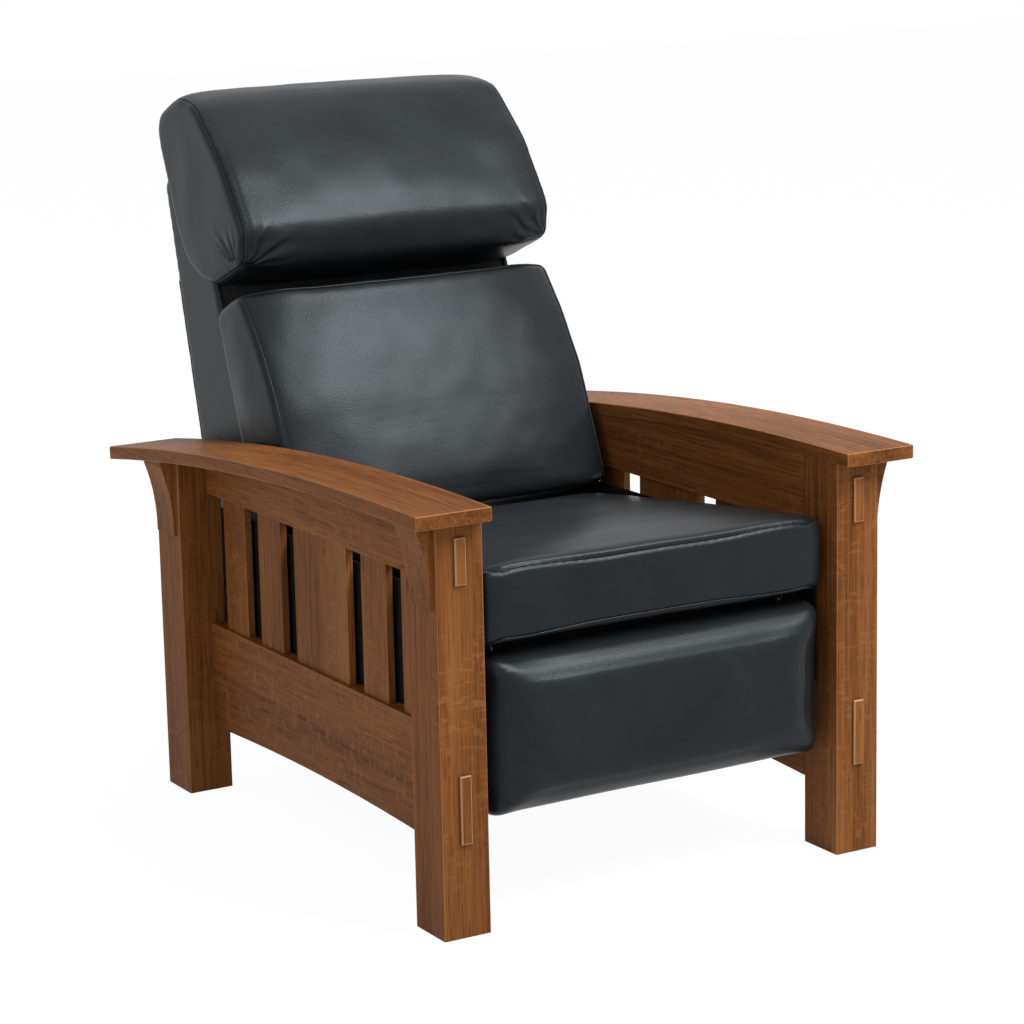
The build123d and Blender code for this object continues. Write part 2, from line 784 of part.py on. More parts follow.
def spring_clip(x, y):
    """A clip that holds one run of a spring down on a rail."""
    shape = block((-clip_width / 2, clip_width / 2), (-clip_width / 2, clip_width / 2), (0, clip_top))
    channel = rod(spring_wire_radius + clip_channel_clearance, (-clip_width, clip_width), 0, 0)
    channel_height = spring_rest_gap + spring_wire_radius
    slot_half = spring_wire_radius + clip_channel_clearance
    slot = block((-clip_width, clip_width), (-slot_half, slot_half), (-clip_thickness, channel_height))
    shape = shape - slot - Pos(0, 0, channel_height) * channel
    return Pos(x, y, 0) * shape


seat_spring_start = (front_deck_rail[0] + front_deck_rail[1]) / 2
seat_spring_length = (rear_deck_rail[0] + rear_deck_rail[1]) / 2 - seat_spring_start
seat_spring_rows = row_places(seat_springs_count, seat_spring_spacing)
one_seat_spring = zigzag_spring(seat_spring_length, spring_half_width)
save(
    "seat_springs",
    [deck_plane * Pos(x, seat_spring_start, wire_height) * one_seat_spring for x in seat_spring_rows],
)
save(
    "seat_spring_clips",
    [
        deck_plane * Pos(0, 0, -deck_rail_drop) * spring_clip(x, y)
        for x in seat_spring_rows
        for y in (seat_spring_start, seat_spring_start + seat_spring_length)
    ],
)
deck_pad = block(
    (-seat_rail_outer_half + deck_pad_inset, seat_rail_outer_half - deck_pad_inset),
    (deck_pad_inset, deck_length - deck_pad_inset),
    (spring_rest_gap, spring_rest_gap + deck_pad_thickness),
)
save("deck_pad", deck_plane * deck_pad)

# Footrest linkage


def along_link(angle, rising):
    """Forward direction of a link that lies at an angle below or above the line forward."""
    radians = math.radians(angle)
    return Vector(-math.cos(radians), math.sin(radians) * (1 if rising else -1))


falling = along_link(link_closed_angle, False)
rising = along_link(link_closed_angle, True)
pivot = Vector(footrest_pivot_setback, footrest_pivot_height)
link_a_end = pivot + falling * link_length
link_a_middle = pivot + falling * (link_length / 2)
slider_low = link_a_middle - rising * (link_length / 2)
link_b_end = link_a_middle + rising * (link_length / 2)
bracket_middle = link_b_end + falling * (link_length / 2)
layer_three = (layer_two[0] - rivet_head_height, layer_two[0])


def yz(vector):
    """A flat vector as a (Y, Z) pair."""
    return (vector.X, vector.Y)


fixed_hole = rod_radius + fit_clearance
turning_hole = rod_radius + pin_clearance
closing_hole = rod_radius + open_pin_clearance
tube_bore = torque_tube_radius + fit_clearance
slot_half_width = rod_radius + open_pin_clearance
slot_top = pivot.Y - torque_tube_radius - slot_half_width - plate_edge / 2
slot_bottom = slider_low.Y
hinge_pivot = (back_pivot_setback, back_pivot_height)


def side_plate():
    """A steel plate inside a seat side rail: it carries the footrest links and the back's pivot."""
    strip_half = slot_half_width + plate_edge
    nose_front = plate_nose_front
    nose_top = seat_rail_top_z(nose_front) - plate_top_margin
    nose_rear = nose_front + plate_nose_length
    nose = [
        (nose_front, nose_top),
        (nose_front, nose_top - plate_nose_height),
        (nose_rear, nose_top - plate_nose_height),
        (nose_rear, seat_rail_top_z(nose_rear) - plate_top_margin),
    ]
    strip_bottom = slot_bottom - strip_half
    strip = [
        (pivot.X - strip_half, nose_top - plate_nose_height / 2),
        (pivot.X - strip_half, strip_bottom),
        (pivot.X + strip_half, strip_bottom),
        (pivot.X + strip_half, nose_top - plate_nose_height / 2),
    ]
    body_rear = seat_rail_rear - plate_edge
    body_front_top = plate_bottom + plate_height
    body = [
        (pivot.X, plate_bottom),
        (body_rear, plate_bottom),
        (body_rear, seat_rail_top_z(body_rear) - plate_top_margin),
        (pivot.X, body_front_top),
    ]
    ear_root = body_rear - 2 * hinge_boss_radius
    boss_corner = hinge_boss_radius * math.sqrt(0.5)
    ear = [
        (ear_root, plate_bottom),
        (body_rear, plate_bottom),
        (hinge_pivot[0] + boss_corner, hinge_pivot[1] - boss_corner),
        (hinge_pivot[0] - boss_corner, hinge_pivot[1] + boss_corner),
        (seat_rail_rear, seat_rail_top_z(seat_rail_rear) - plate_top_margin),
        (ear_root, seat_rail_top_z(ear_root) - plate_top_margin),
    ]
    face = make_face(straight_outline(nose)) + make_face(straight_outline(strip))
    face += make_face(straight_outline(body))
    face += make_face(straight_outline(ear))
    face += Pos(*hinge_pivot) * Circle(hinge_boss_radius)
    face -= Pos(*yz(pivot)) * Circle(torque_tube_radius + pin_clearance)
    face -= Pos(*hinge_pivot) * Circle(pivot_radius + fit_clearance)
    slot_length = slot_top - slot_bottom
    slot = Rot(0, 0, 90) * SlotCenterToCenter(slot_length, 2 * slot_half_width)
    face -= Pos(pivot.X, (slot_top + slot_bottom) / 2) * slot
    for place in plate_screw_places:
        face -= Pos(*place) * Circle(screw_radius + screw_fit)
    return extrude(Plane.YZ.offset(plate_inner) * face, amount=plate_thickness)


save_pair("side_plate", side_plate())
plate_screw_tip_x = seat_rail_inner + screw_depth
plate_screws = [screw_along_x(y, z, plate_screw_tip_x, plate_inner) for y, z in plate_screw_places]
save("side_plate_screws", plate_screws, [mirrored(item) for item in plate_screws])

tube_half = seat_rail_inner - tube_end_gap
tube = rod(torque_tube_radius, (-tube_half, tube_half), *yz(pivot))
save("torque_tube", tube - rod(torque_tube_radius - torque_tube_wall, (-tube_half, tube_half), *yz(pivot)))
save("slider_rod", rod(rod_radius, (-tube_half, tube_half), *yz(slider_low)))
save("link_rod", rod(rod_radius, (-layer_one[1], layer_one[1]), *yz(bracket_middle)))

link_a_holes = [(yz(pivot), tube_bore), (yz(link_a_middle), fixed_hole), (yz(link_a_end), fixed_hole)]
link_b_holes = [(yz(slider_low), fixed_hole), (yz(link_a_middle), turning_hole), (yz(link_b_end), fixed_hole)]
link_c_holes = [(yz(link_a_end), turning_hole), (yz(bracket_middle), fixed_hole)]
save_pair("link_a", link(yz(pivot), yz(link_a_end), layer_one, link_a_holes, torque_boss_radius))
save_pair("link_b", link(yz(slider_low), yz(link_b_end), layer_two, link_b_holes))
save_pair("link_c", link(yz(link_a_end), yz(bracket_middle), layer_two, link_c_holes))


def rivet(place):
    """A rivet through both layers of links, with its head on the inner side."""
    shank = rod(rod_radius, (layer_two[0], layer_one[1]), *yz(place))
    return shank + rod(rivet_head_radius, layer_three, *yz(place))


link_a_rivets = [rivet(link_a_middle), rivet(link_a_end)]
link_b_rivets = [rivet(link_b_end)]
save("link_a_rivets", link_a_rivets, [mirrored(item) for item in link_a_rivets])
save("link_b_rivets", link_b_rivets, [mirrored(item) for item in link_b_rivets])

# Footrest panel

panel_rear = footrest_front + footrest_thickness
board_rear = panel_rear + board_proud
board_front = board_rear - board_thickness
board_x = (-footrest_half_width + board_inset, footrest_half_width - board_inset)
board_z = (footrest_bottom + board_inset, footrest_top - board_inset)
flange_front = board_rear + fit_clearance
flange_top = link_b_end.Y - bracket_flange_drop
flange_bottom = flange_top - bracket_flange_height
flange_x = (layer_one[1] - bracket_flange_width, layer_one[1])
board_screw_places = []
for share in board_screw_shares:
    screw_x = flange_x[0] + screw_head_radius + board_screw_edge
    board_screw_places.append((screw_x, flange_bottom + share * bracket_flange_height))


def screw_along_y(x, z, tip_y, seat_y, fit=0):
    """A screw that runs forward, with its head behind, or with a fit the hole for its shank."""
    length = seat_y - tip_y
    turned = Rot(90, 0, 0)
    shank = Pos(x, (seat_y + tip_y) / 2, z) * turned * Cylinder(screw_radius + fit, length)
    if fit:
        return shank
    head = turned * Cylinder(screw_head_radius, screw_head_height)
    return shank + Pos(x, seat_y + screw_head_height / 2, z) * head


def footrest_bracket():
    """A link with a web and a flange that is screwed to the footrest board."""
    face = capsule_outline(yz(link_b_end), yz(bracket_middle), link_boss_radius, link_boss_radius)
    lower = bracket_middle + falling * link_boss_radius
    web = [
        (flange_front, flange_top),
        (flange_front, flange_bottom),
        (lower.X, flange_bottom),
        yz(bracket_middle),
        (yz(link_b_end)[0], flange_top),
    ]
    face = face + make_face(straight_outline(web))
    face -= Pos(*yz(link_b_end)) * Circle(turning_hole)
    face -= Pos(*yz(bracket_middle)) * Circle(closing_hole)
    shape = extrude(Plane.YZ.offset(layer_one[0]) * face, amount=link_thickness)
    flange_rear = flange_front + bracket_flange_thickness
    shape += block(flange_x, (flange_front, flange_rear), (flange_bottom, flange_top))
    for x, z in board_screw_places:
        shape -= screw_along_y(x, z, board_front, flange_rear + cut_overrun, screw_fit)
    return shape


save_pair("footrest_bracket", footrest_bracket())
board_screws = [
    screw_along_y(x, z, board_rear - screw_depth, flange_front + bracket_flange_thickness)
    for x, z in board_screw_places
]
save("footrest_screws", board_screws, [mirrored(item) for item in board_screws])


def footrest_board():
    """The wooden board that stiffens the footrest."""
    shape = block(board_x, (board_front, board_rear), board_z)
    shape = fillet(shape.edges().filter_by(Axis.Y), board_corner_radius)
    tip_y = board_rear - screw_depth - screw_fit
    for x, z in board_screw_places:
        for side in (-1, 1):
            shape -= screw_along_y(side * x, z, tip_y, board_rear + cut_overrun, screw_fit)
    return shape


def footrest_pad():
    """The padded cover of the board: rounded corners and a gently crowned front."""
    middle_z = (footrest_bottom + footrest_top) / 2
    height = footrest_top - footrest_bottom
    sections = []
    for depth_share, inset_share in footrest_profile_shares:
        y = footrest_front + depth_share * footrest_thickness
        inset = inset_share * footrest_crown_inset
        width = 2 * (footrest_half_width - inset)
        plane = Plane(origin=(0, y, middle_z), x_dir=(1, 0, 0), z_dir=(0, -1, 0))
        rounded = RectangleRounded(width, height - 2 * inset, footrest_corner_radius)
        sections.append((plane * rounded).faces()[0])
    shape = loft(sections)
    pocket = block(
        (board_x[0] - soft_gap, board_x[1] + soft_gap),
        (board_front - soft_gap, panel_rear + cut_overrun),
        (board_z[0] - soft_gap, board_z[1] + soft_gap),
    )
    return shape - pocket


save("footrest_board", footrest_board())
save("footrest_pad", footrest_pad())

# Seat cushion

cushion_bottom_gap = spring_rest_gap + deck_pad_thickness + soft_gap


def crown_at(share):
    """Share of the crown at a share of the half width: one in the middle, none at the ends."""
    return 1 - abs(share) ** crown_power


def end_pull_at(share):
    """Share of the ends' drawn-in shape at a share of the half width."""
    beyond = max(0, abs(share) - end_pull_start_share)
    return (beyond / (1 - end_pull_start_share)) ** end_pull_power


def seat_section(share):
    """Side-view outline of the seat cushion at a share of its half width."""
    fullness = end_fullness_share + (1 - end_fullness_share) * crown_at(share)
    crown = fullness * seat_crown
    pull = end_pull_at(share) * seat_end_pull
    slope = math.tan(math.radians(seat_edge_slope))
    front = seat_front + pull
    rear = seat_rear - pull
    length = rear - front

    def bottom_z(y):
        """Height of the flat underside, which lies on the sloping deck."""
        return seat_rail_top_z(y) + cushion_bottom_gap / math.cos(math.radians(deck_slope))

    def edge_z(y):
        """Height of the sewn top edge."""
        return seat_front_height - pull - (y - seat_front) * slope

    def top_z(share):
        """Height of the crowned top at a share of the cushion's depth."""
        return edge_z(front + share * length) + crown

    middle_front = (edge_z(front) + bottom_z(front)) / 2
    bulge = seat_front_bulge * fullness
    crown_start, crown_end = seat_crown_shares
    points = [
        (front + bulge, bottom_z(front + bulge)),
        (front, middle_front),
        (front + bulge, edge_z(front)),
        (front + crown_start * length, top_z(crown_start)),
        (front + crown_end * length, top_z(crown_end)),
        (rear, edge_z(rear) + crown / 2),
        (rear, bottom_z(rear)),
    ]
    radii = [
        seat_bottom_radius,
        length * seat_front_round_share,
        seat_corner_radius,
        length,
        length,
        seat_rear_radius,
        seat_bottom_radius,
    ]
    return rounded_outline(points, radii)


def lofted(section, half_width):
    """A cushion: side-view sections from one end to the other, joined by a smooth skin."""
    faces = []
    for share in station_shares:
        face = make_face(section(share))
        faces.append(Plane.YZ.offset(share * half_width) * face)
    return loft(faces)


save("seat_cushion", lofted(seat_section, seat_half_width))

# Backrest: shell, frame, springs, hinge


def shell_outline():
    """Side-view corners and radii of the upholstered shell of the back."""
    points = [
        (shell_front_y(shell_bottom), shell_bottom),
        (shell_rear_y(shell_bottom), shell_bottom),
        (shell_rear_y(shell_top), shell_top),
        (shell_front_y(shell_top - shell_top_drop), shell_top - shell_top_drop),
    ]
    radii = [shell_wall / 2, shell_corner_radius, shell_corner_radius, shell_wall / 2]
    return points, radii


def back_shell():
    """The shell: sides, rear, top and bottom walls, open at the front."""
    outer = slab(rounded_outline(*shell_outline()), (-shell_half_width, shell_half_width))
    front_at_bottom = shell_front_y(shell_bottom) - cut_overrun - shell_wall
    front_at_top = shell_front_y(shell_top) - cut_overrun - shell_wall
    inner_top = shell_top - shell_top_drop - shell_wall
    inner_bottom = shell_bottom + shell_wall
    hollow = [
        (front_at_bottom, inner_bottom),
        (shell_rear_y(inner_bottom) - shell_wall, inner_bottom),
        (shell_rear_y(inner_top) - shell_wall, inner_top),
        (front_at_top, inner_top),
    ]
    inner_half = shell_half_width - shell_wall
    return outer - slab(straight_outline(hollow), (-inner_half, inner_half))


save("back_shell", back_shell())


def back_bar(z_range, x_range, setback, width):
    """A wooden bar of the back's frame, parallel to the front edges of the shell."""
    corners = [
        (shell_front_y(z_range[0]) + setback, z_range[0]),
        (shell_front_y(z_range[0]) + setback + width, z_range[0]),
        (shell_front_y(z_range[1]) + setback + width, z_range[1]),
        (shell_front_y(z_range[1]) + setback, z_range[1]),
    ]
    return slab(straight_outline(corners), x_range)


bracket_z = (hinge_bracket_bottom, hinge_bracket_bottom + hinge_bracket_height)
bracket_screw_places = []
for share in bracket_screw_shares:
    screw_z = bracket_z[0] + share * hinge_bracket_height
    screw_y = shell_front_y(screw_z) + stile_front_gap + hinge_bracket_width / 2
    bracket_screw_places.append((screw_y, screw_z))


def bracket_screw(y, z, fit=0):
    """A screw from the hinge bracket into a stile, or with a fit the hole for its shank."""
    outer_face = bracket_inner + hinge_bracket_thickness
    depth = screw_depth + hinge_bracket_thickness
    shank_end = outer_face + (cut_overrun if fit else 0)
    shank = rod(screw_radius + fit, (outer_face - depth - fit, shank_end), y, z)
    if fit:
        return shank
    return shank + rod(screw_head_radius, (outer_face, outer_face + screw_head_height), y, z)


def back_stile():
    """A side panel of the back's frame, which fills the shell from front to rear."""
    top = shell_top - shell_top_drop - shell_wall - soft_gap
    rear_setback = shell_wall + soft_gap
    corners = [
        (shell_front_y(stile_bottom) + stile_front_gap, stile_bottom),
        (shell_rear_y(stile_bottom) - rear_setback, stile_bottom),
        (shell_rear_y(top) - rear_setback, top),
        (shell_front_y(top) + stile_front_gap, top),
    ]
    return slab(straight_outline(corners), (stile_inner, stile_outer))


stile = back_stile()
for place in bracket_screw_places:
    stile -= bracket_screw(*place, screw_fit)
save_pair("back_stile", stile)
for name, bottom in (("lower_back_rail", lower_back_rail_bottom), ("upper_back_rail", upper_back_rail_bottom)):
    heights = (bottom, bottom + back_rail_height)
    save(name, back_bar(heights, (-stile_inner, stile_inner), stile_front_gap, back_rail_thickness))

back_lean = math.atan(frame_plane_lean)
spring_bottom = lower_back_rail_bottom + back_rail_height / 2
back_spring_length = (upper_back_rail_bottom - lower_back_rail_bottom) / math.cos(back_lean)
back_plane = Plane(
    origin=(0, shell_front_y(spring_bottom) + stile_front_gap, spring_bottom),
    x_dir=(1, 0, 0),
    z_dir=(0, -math.cos(back_lean), math.sin(back_lean)),
)
back_spring_rows = row_places(back_springs_count, back_spring_spacing)
one_back_spring = zigzag_spring(back_spring_length, spring_half_width)
save(
    "back_springs",
    [back_plane * Pos(x, 0, spring_wire_radius + spring_rest_gap) * one_back_spring for x in back_spring_rows],
)
save(
    "back_spring_clips",
    [back_plane * spring_clip(x, y) for x in back_spring_rows for y in (0, back_spring_length)],
)

back_pad_half = stile_outer - back_pad_inset
back_pad = block(
    (-back_pad_half, back_pad_half),
    (-back_pad_overlap, back_spring_length + back_pad_overlap),
    (clip_top + spring_rest_gap, clip_top + spring_rest_gap + back_pad_thickness),
)
save("back_pad", back_plane * back_pad)


def hinge_bracket():
    """A steel bracket on a stile, with the boss that turns on the back's pivot."""
    low, high = bracket_z
    setback = stile_front_gap
    middle = low + hinge_bracket_height * bracket_waist_share
    points = [
        (hinge_pivot[0], hinge_pivot[1] - hinge_boss_radius),
        (shell_front_y(low) + setback + hinge_bracket_width, low),
        (shell_front_y(high) + setback + hinge_bracket_width, high),
        (shell_front_y(high) + setback, high),
        (shell_front_y(middle) + setback, middle),
        (hinge_pivot[0], hinge_pivot[1] + hinge_boss_radius),
    ]
    face = make_face(straight_outline(points)) + Pos(*hinge_pivot) * Circle(hinge_boss_radius)
    face -= Pos(*hinge_pivot) * Circle(pivot_radius + pin_clearance)
    for place in bracket_screw_places:
        face -= Pos(*place) * Circle(screw_radius + screw_fit)
    return extrude(Plane.YZ.offset(bracket_inner) * face, amount=hinge_bracket_thickness)


save_pair("hinge_bracket", hinge_bracket())
bracket_screws = [bracket_screw(*place) for place in bracket_screw_places]
save("hinge_bracket_screws", bracket_screws, [mirrored(item) for item in bracket_screws])

coil_pitch = 2 * coil_wire_radius + coil_gap
coil_length = coil_turns * coil_pitch
coil_radius = pivot_shoulder_radius + coil_play + coil_wire_radius
coil_start = bracket_inner - coil_inset - coil_wire_radius - coil_length
shoulder_x = (coil_start - coil_wire_radius - coil_inset, bracket_inner - link_layer_gap)


def pivot_bolt():
    """The bolt of the back's pivot: head outside the side plate, shoulder inside the bracket."""
    shank = rod(pivot_radius, (shoulder_x[1], seat_rail_inner), *hinge_pivot)
    head = rod(pivot_head_radius, (seat_rail_inner, seat_rail_inner + pivot_head_height), *hinge_pivot)
    return shank + head + rod(pivot_shoulder_radius, shoulder_x, *hinge_pivot)


def helix_point(turns):
    """Point on the middle line of the return spring's coil."""
    angle = turns * math.tau
    return Vector(
        coil_start + turns * coil_pitch,
        hinge_pivot[0] + coil_radius * math.cos(angle),
        hinge_pivot[1] + coil_radius * math.sin(angle),
    )


def helix_tangent(turns):
    """Direction of the coil's middle line."""
    angle = turns * math.tau
    around = Vector(0, -math.sin(angle), math.cos(angle)) * (math.tau * coil_radius)
    return (around + Vector(coil_pitch, 0, 0)).normalized()


def biarc(start, start_way, end, end_way):
    """Two arcs that leave and reach their ends in given directions and join smoothly."""
    chord = end - start
    both = start_way + end_way
    spread = 2 * (1 - start_way.dot(end_way))
    reach = (-chord.dot(both) + math.sqrt(chord.dot(both) ** 2 + spread * chord.dot(chord))) / spread
    join = (start + end + (start_way - end_way) * reach) / 2
    first = Edge.make_tangent_arc(start, start_way, join)
    second = Edge.make_tangent_arc(join, first % 1, end)
    return [first, second]


def return_spring():
    """The coil spring round the pivot that brings the back up again."""
    tail = 2 * coil_wire_radius
    steps = coil_turns * coil_steps_per_turn
    first = helix_point(0)
    route = [Edge.make_line(first - helix_tangent(0) * tail, first)]
    for index in range(steps):
        low, high = index / coil_steps_per_turn, (index + 1) / coil_steps_per_turn
        route += biarc(helix_point(low), helix_tangent(low), helix_point(high), helix_tangent(high))
    last = helix_point(coil_turns)
    route.append(Edge.make_line(last, last + helix_tangent(coil_turns) * tail))
    path = Wire(route)
    section = Plane(origin=path @ 0, z_dir=path % 0) * Circle(coil_wire_radius)
    return sweep(section, path=path)


save("back_pivot_bolts", both_sides(pivot_bolt()))
save("return_springs", both_sides(return_spring()))

# Back cushion


def back_cushion_section(share):
    """Side-view outline of the lower back cushion at a share of its half width."""
    crown = crown_at(share)
    pull = end_pull_at(share) * seat_end_pull
    points = []
    for middle_shares, end_shares in zip(back_middle_shares, back_end_shares):
        y_share = end_shares[0] + crown * (middle_shares[0] - end_shares[0])
        z_share = end_shares[1] + crown * (middle_shares[1] - end_shares[1])
        y = back_cushion_front + y_share * back_cushion_depth + pull
        points.append((y, back_cushion_bottom + z_share * back_cushion_height - pull * z_share))
    rear_z = back_cushion_bottom + back_top_rear_share * back_cushion_height - pull
    points.append((shell_front_y(rear_z) - soft_gap, rear_z))
    low_z = back_cushion_bottom + pull
    points.append((shell_front_y(low_z) - soft_gap, low_z))
    for y_share, z_share in back_step_shares:
        y = back_cushion_front + y_share * back_cushion_depth
        points.append((y, low_z + z_share * back_cushion_height))
    corner = back_cushion_corner_radius
    long_radius = back_cushion_height
    small = corner / 2
    radii = [corner * back_low_corner_share, long_radius, long_radius, corner, corner, small, small, small]
    return rounded_outline(points, radii)


save("back_cushion", lofted(back_cushion_section, cushion_half_width))

# Headrest


def headrest_section(share):
    """Side-view outline of the headrest at a share of its half width."""
    grow = 1 + headrest_crown_share * crown_at(share) - headrest_end_pull_share * end_pull_at(share)
    points = []
    radii = []
    for y_share, z_share, radius_share in headrest_corner_shares:
        y = headrest_front + (0.5 + (y_share - 0.5) * grow) * headrest_depth
        z = headrest_bottom + (0.5 + (z_share - 0.5) * grow) * headrest_height
        points.append((y, z))
        radii.append(radius_share * headrest_height * grow)
    return rounded_outline(points, radii)


def headrest():
    """The headrest, which wraps the top of the shell."""
    points, radii = shell_outline()
    low_front, low_rear, high_rear, high_front = points
    gap = soft_gap / math.cos(back_lean)
    grown = [
        (low_front[0] - gap, low_front[1]),
        (low_rear[0] + gap, low_rear[1]),
        (high_rear[0] + gap, high_rear[1] + gap),
        (high_front[0] - gap, high_front[1] + gap),
    ]
    reach = shell_half_width + soft_gap
    pocket = slab(straight_outline(grown), (-reach, reach))
    return lofted(headrest_section, cushion_half_width) - pocket


save("headrest", headrest())

# The origin goes under the middle of the chair, and each node is written

everything = Compound([solid for solids in nodes.values() for solid in solids])
box = everything.bounding_box()
middle_y = (box.min.Y + box.max.Y) / 2
os.makedirs("parts", exist_ok=True)
for name, solids in nodes.items():
    moved = [Pos(0, -middle_y, 0) * solid for solid in solids]
    export_step(Compound(moved) if len(moved) > 1 else moved[0], f"parts/{name}.step")

print("nodes", len(nodes), "solids", sum(len(solids) for solids in nodes.values()))
size = (box.size.X, box.size.Y, box.size.Z)
print("size", [round(value, 2) for value in size], "shift", round(middle_y, 4))
for label, place in (
    ("footrest pivot", yz(pivot)),
    ("link b on link a", yz(link_a_middle)),
    ("link c on link a", yz(link_a_end)),
    ("bracket on link b", yz(link_b_end)),
    ("back pivot", hinge_pivot),
):
    print(label, [round(value, 4) for value in (place[0] - middle_y, place[1])])
turn_gap = math.inf
for index in range(coil_turns * gap_samples - gap_samples // 2):
    for other in range(index + gap_samples // 2, coil_turns * gap_samples):
        gap = (helix_point(index / gap_samples) - helix_point(other / gap_samples)).length
        turn_gap = min(turn_gap, gap - 2 * coil_wire_radius)
print("least gap between the return spring's turns", round(turn_gap, 3))
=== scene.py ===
import json
import math

import bmesh
import bpy
import numpy as np
from mathutils import Matrix, Vector, noise
from mathutils.bvhtree import BVHTree
from mathutils.kdtree import KDTree


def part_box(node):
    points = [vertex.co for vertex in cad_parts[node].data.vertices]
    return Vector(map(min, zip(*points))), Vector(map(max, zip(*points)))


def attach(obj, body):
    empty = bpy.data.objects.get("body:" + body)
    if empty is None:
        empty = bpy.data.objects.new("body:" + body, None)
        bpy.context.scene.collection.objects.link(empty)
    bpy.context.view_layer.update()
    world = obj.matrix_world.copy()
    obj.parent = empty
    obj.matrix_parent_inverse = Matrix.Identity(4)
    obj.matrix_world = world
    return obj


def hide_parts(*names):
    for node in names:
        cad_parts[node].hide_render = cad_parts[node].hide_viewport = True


# A mission recliner in quarter-sawn oak with blue-black leather cushions.
# Lengths are metres. Places are worked out from the boxes of the frame's own nodes.

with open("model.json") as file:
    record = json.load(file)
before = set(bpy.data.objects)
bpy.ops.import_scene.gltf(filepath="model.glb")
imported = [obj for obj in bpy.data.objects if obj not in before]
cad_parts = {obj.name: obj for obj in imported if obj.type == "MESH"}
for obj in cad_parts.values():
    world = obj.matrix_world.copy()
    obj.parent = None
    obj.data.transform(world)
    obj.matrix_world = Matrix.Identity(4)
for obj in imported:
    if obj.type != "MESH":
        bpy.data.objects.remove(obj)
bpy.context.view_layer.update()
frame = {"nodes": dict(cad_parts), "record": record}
scene = bpy.context.scene
nodes = frame["nodes"]

# Camera and light
camera_azimuth = -30.43     # degrees, from straight in front, round to the viewer's left
camera_height_angle = 12.44
camera_roll = -1.22
camera_distance = 4.9552
camera_aim = (0.0087, 0.450, 0.4924)    # across, behind the leg fronts, up
camera_focal_pixels = 3175.7
picture_width = 1024
sensor_width = 36.0
floor_whiteness = 0.9
floor_glow = 1.06

# Cushion making
cushion_voxel = 0.0065
shell_voxel = 0.005
cushion_relax_rounds = 3
footrest_relax_rounds = 1
shell_relax_rounds = 4
sim_frames = 20
even_rounds = 30            # of smoothing on what the simulation moved
stuffing = {
    "quality": 5, "mass": 0.3, "tension_stiffness": 14.0, "compression_stiffness": 14.0,
    "shear_stiffness": 6.0, "bending_stiffness": 0.6,
}
cushion_pressure = 4.0
footrest_pressure = 3.0
seat_swell = 0.010          # the most that a point of the skin may move
back_swell = 0.012
footrest_swell = 0.008

# Seams, welts and stitches
seam_half_width = 0.0046
# Radius of the dark lines sunk in the seams, which are painted shade of the seam grooves
groove_shade_radius = 0.0008
seam_sample = 0.004
piping_radius = 0.0018
stitch_length = 0.0042
stitch_pitch = 0.0068
stitch_radius = 0.0006
seat_seam_inset = 0.006
seat_corner_radius = 0.03
seat_top_seam_depth = 0.0026
seat_bottom_seam_depth = 0.0020
headrest_seam_inset = 0.006
headrest_line_offset = 0.0095   # of the stitches from the end seams
headrest_seam_depth = 0.0022
headrest_line_depth = 0.0010
face_seam_inset = 0.005
face_seam_depth = 0.0018
face_top_shares = (0.1, 0.25, 0.4, 0.5, 0.6, 0.75, 0.9)     # places along the cushion's width

# Back shell and a black sheet of painted shade inside it
shell_wall = 0.0102
shell_front_lean = 20.65    # degrees
shell_welt_start = 0.012    # above the shell's lower edge
shell_welt_share = 0.73     # of the shell's height
shell_welt_steps = 40
shell_corner_reach = 0.01
# Lap and depths of the black sheet of painted shade in the gap under the headrest
gap_shade_sheet_lap = 0.06
gap_shade_sheet_depths = (0.005, 0.007)


def corner(name, side):
    """Lowest (0) or highest (1) corner of a node."""
    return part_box(name)[side]


leg_front_y = corner("front_leg_left", 0).y


def behind_legs(x, y, z):
    """A place given across, behind the fronts of the front legs, and up."""
    return Vector((x, leg_front_y + y, z))


# Shader maths


class Wire:
    """A shader value: sums on it add Math nodes to its finish."""

    def __init__(self, finish, socket):
        self.finish = finish
        self.socket = socket

    def math(self, operation, *others):
        """One Math node with this value first."""
        inputs = {index + 1: other for index, other in enumerate(others)}
        inputs[0] = self
        return self.finish.add("ShaderNodeMath", {"operation": operation}, inputs)

    def __add__(self, other):
        return self.math("ADD", other)

    def __sub__(self, other):
        return self.math("SUBTRACT", other)

    def __mul__(self, other):
        return self.math("MULTIPLY", other)

    def __truediv__(self, other):
        return self.math("DIVIDE", other)

    def __rsub__(self, other):
        return self.finish.add("ShaderNodeMath", {"operation": "SUBTRACT"}, {0: other, 1: self})

    __radd__ = __add__
    __rmul__ = __mul__

    def clamped(self, low=0.0, high=1.0):
        """This value held between two limits."""
        return self.math("MAXIMUM", low).math("MINIMUM", high)

    def steps(self, low, high):
        """Zero below low, one above high, and a smooth rise between them."""
        settings = {"interpolation_type": "SMOOTHSTEP"}
        return self.finish.add("ShaderNodeMapRange", settings, {0: self, 1: low, 2: high})


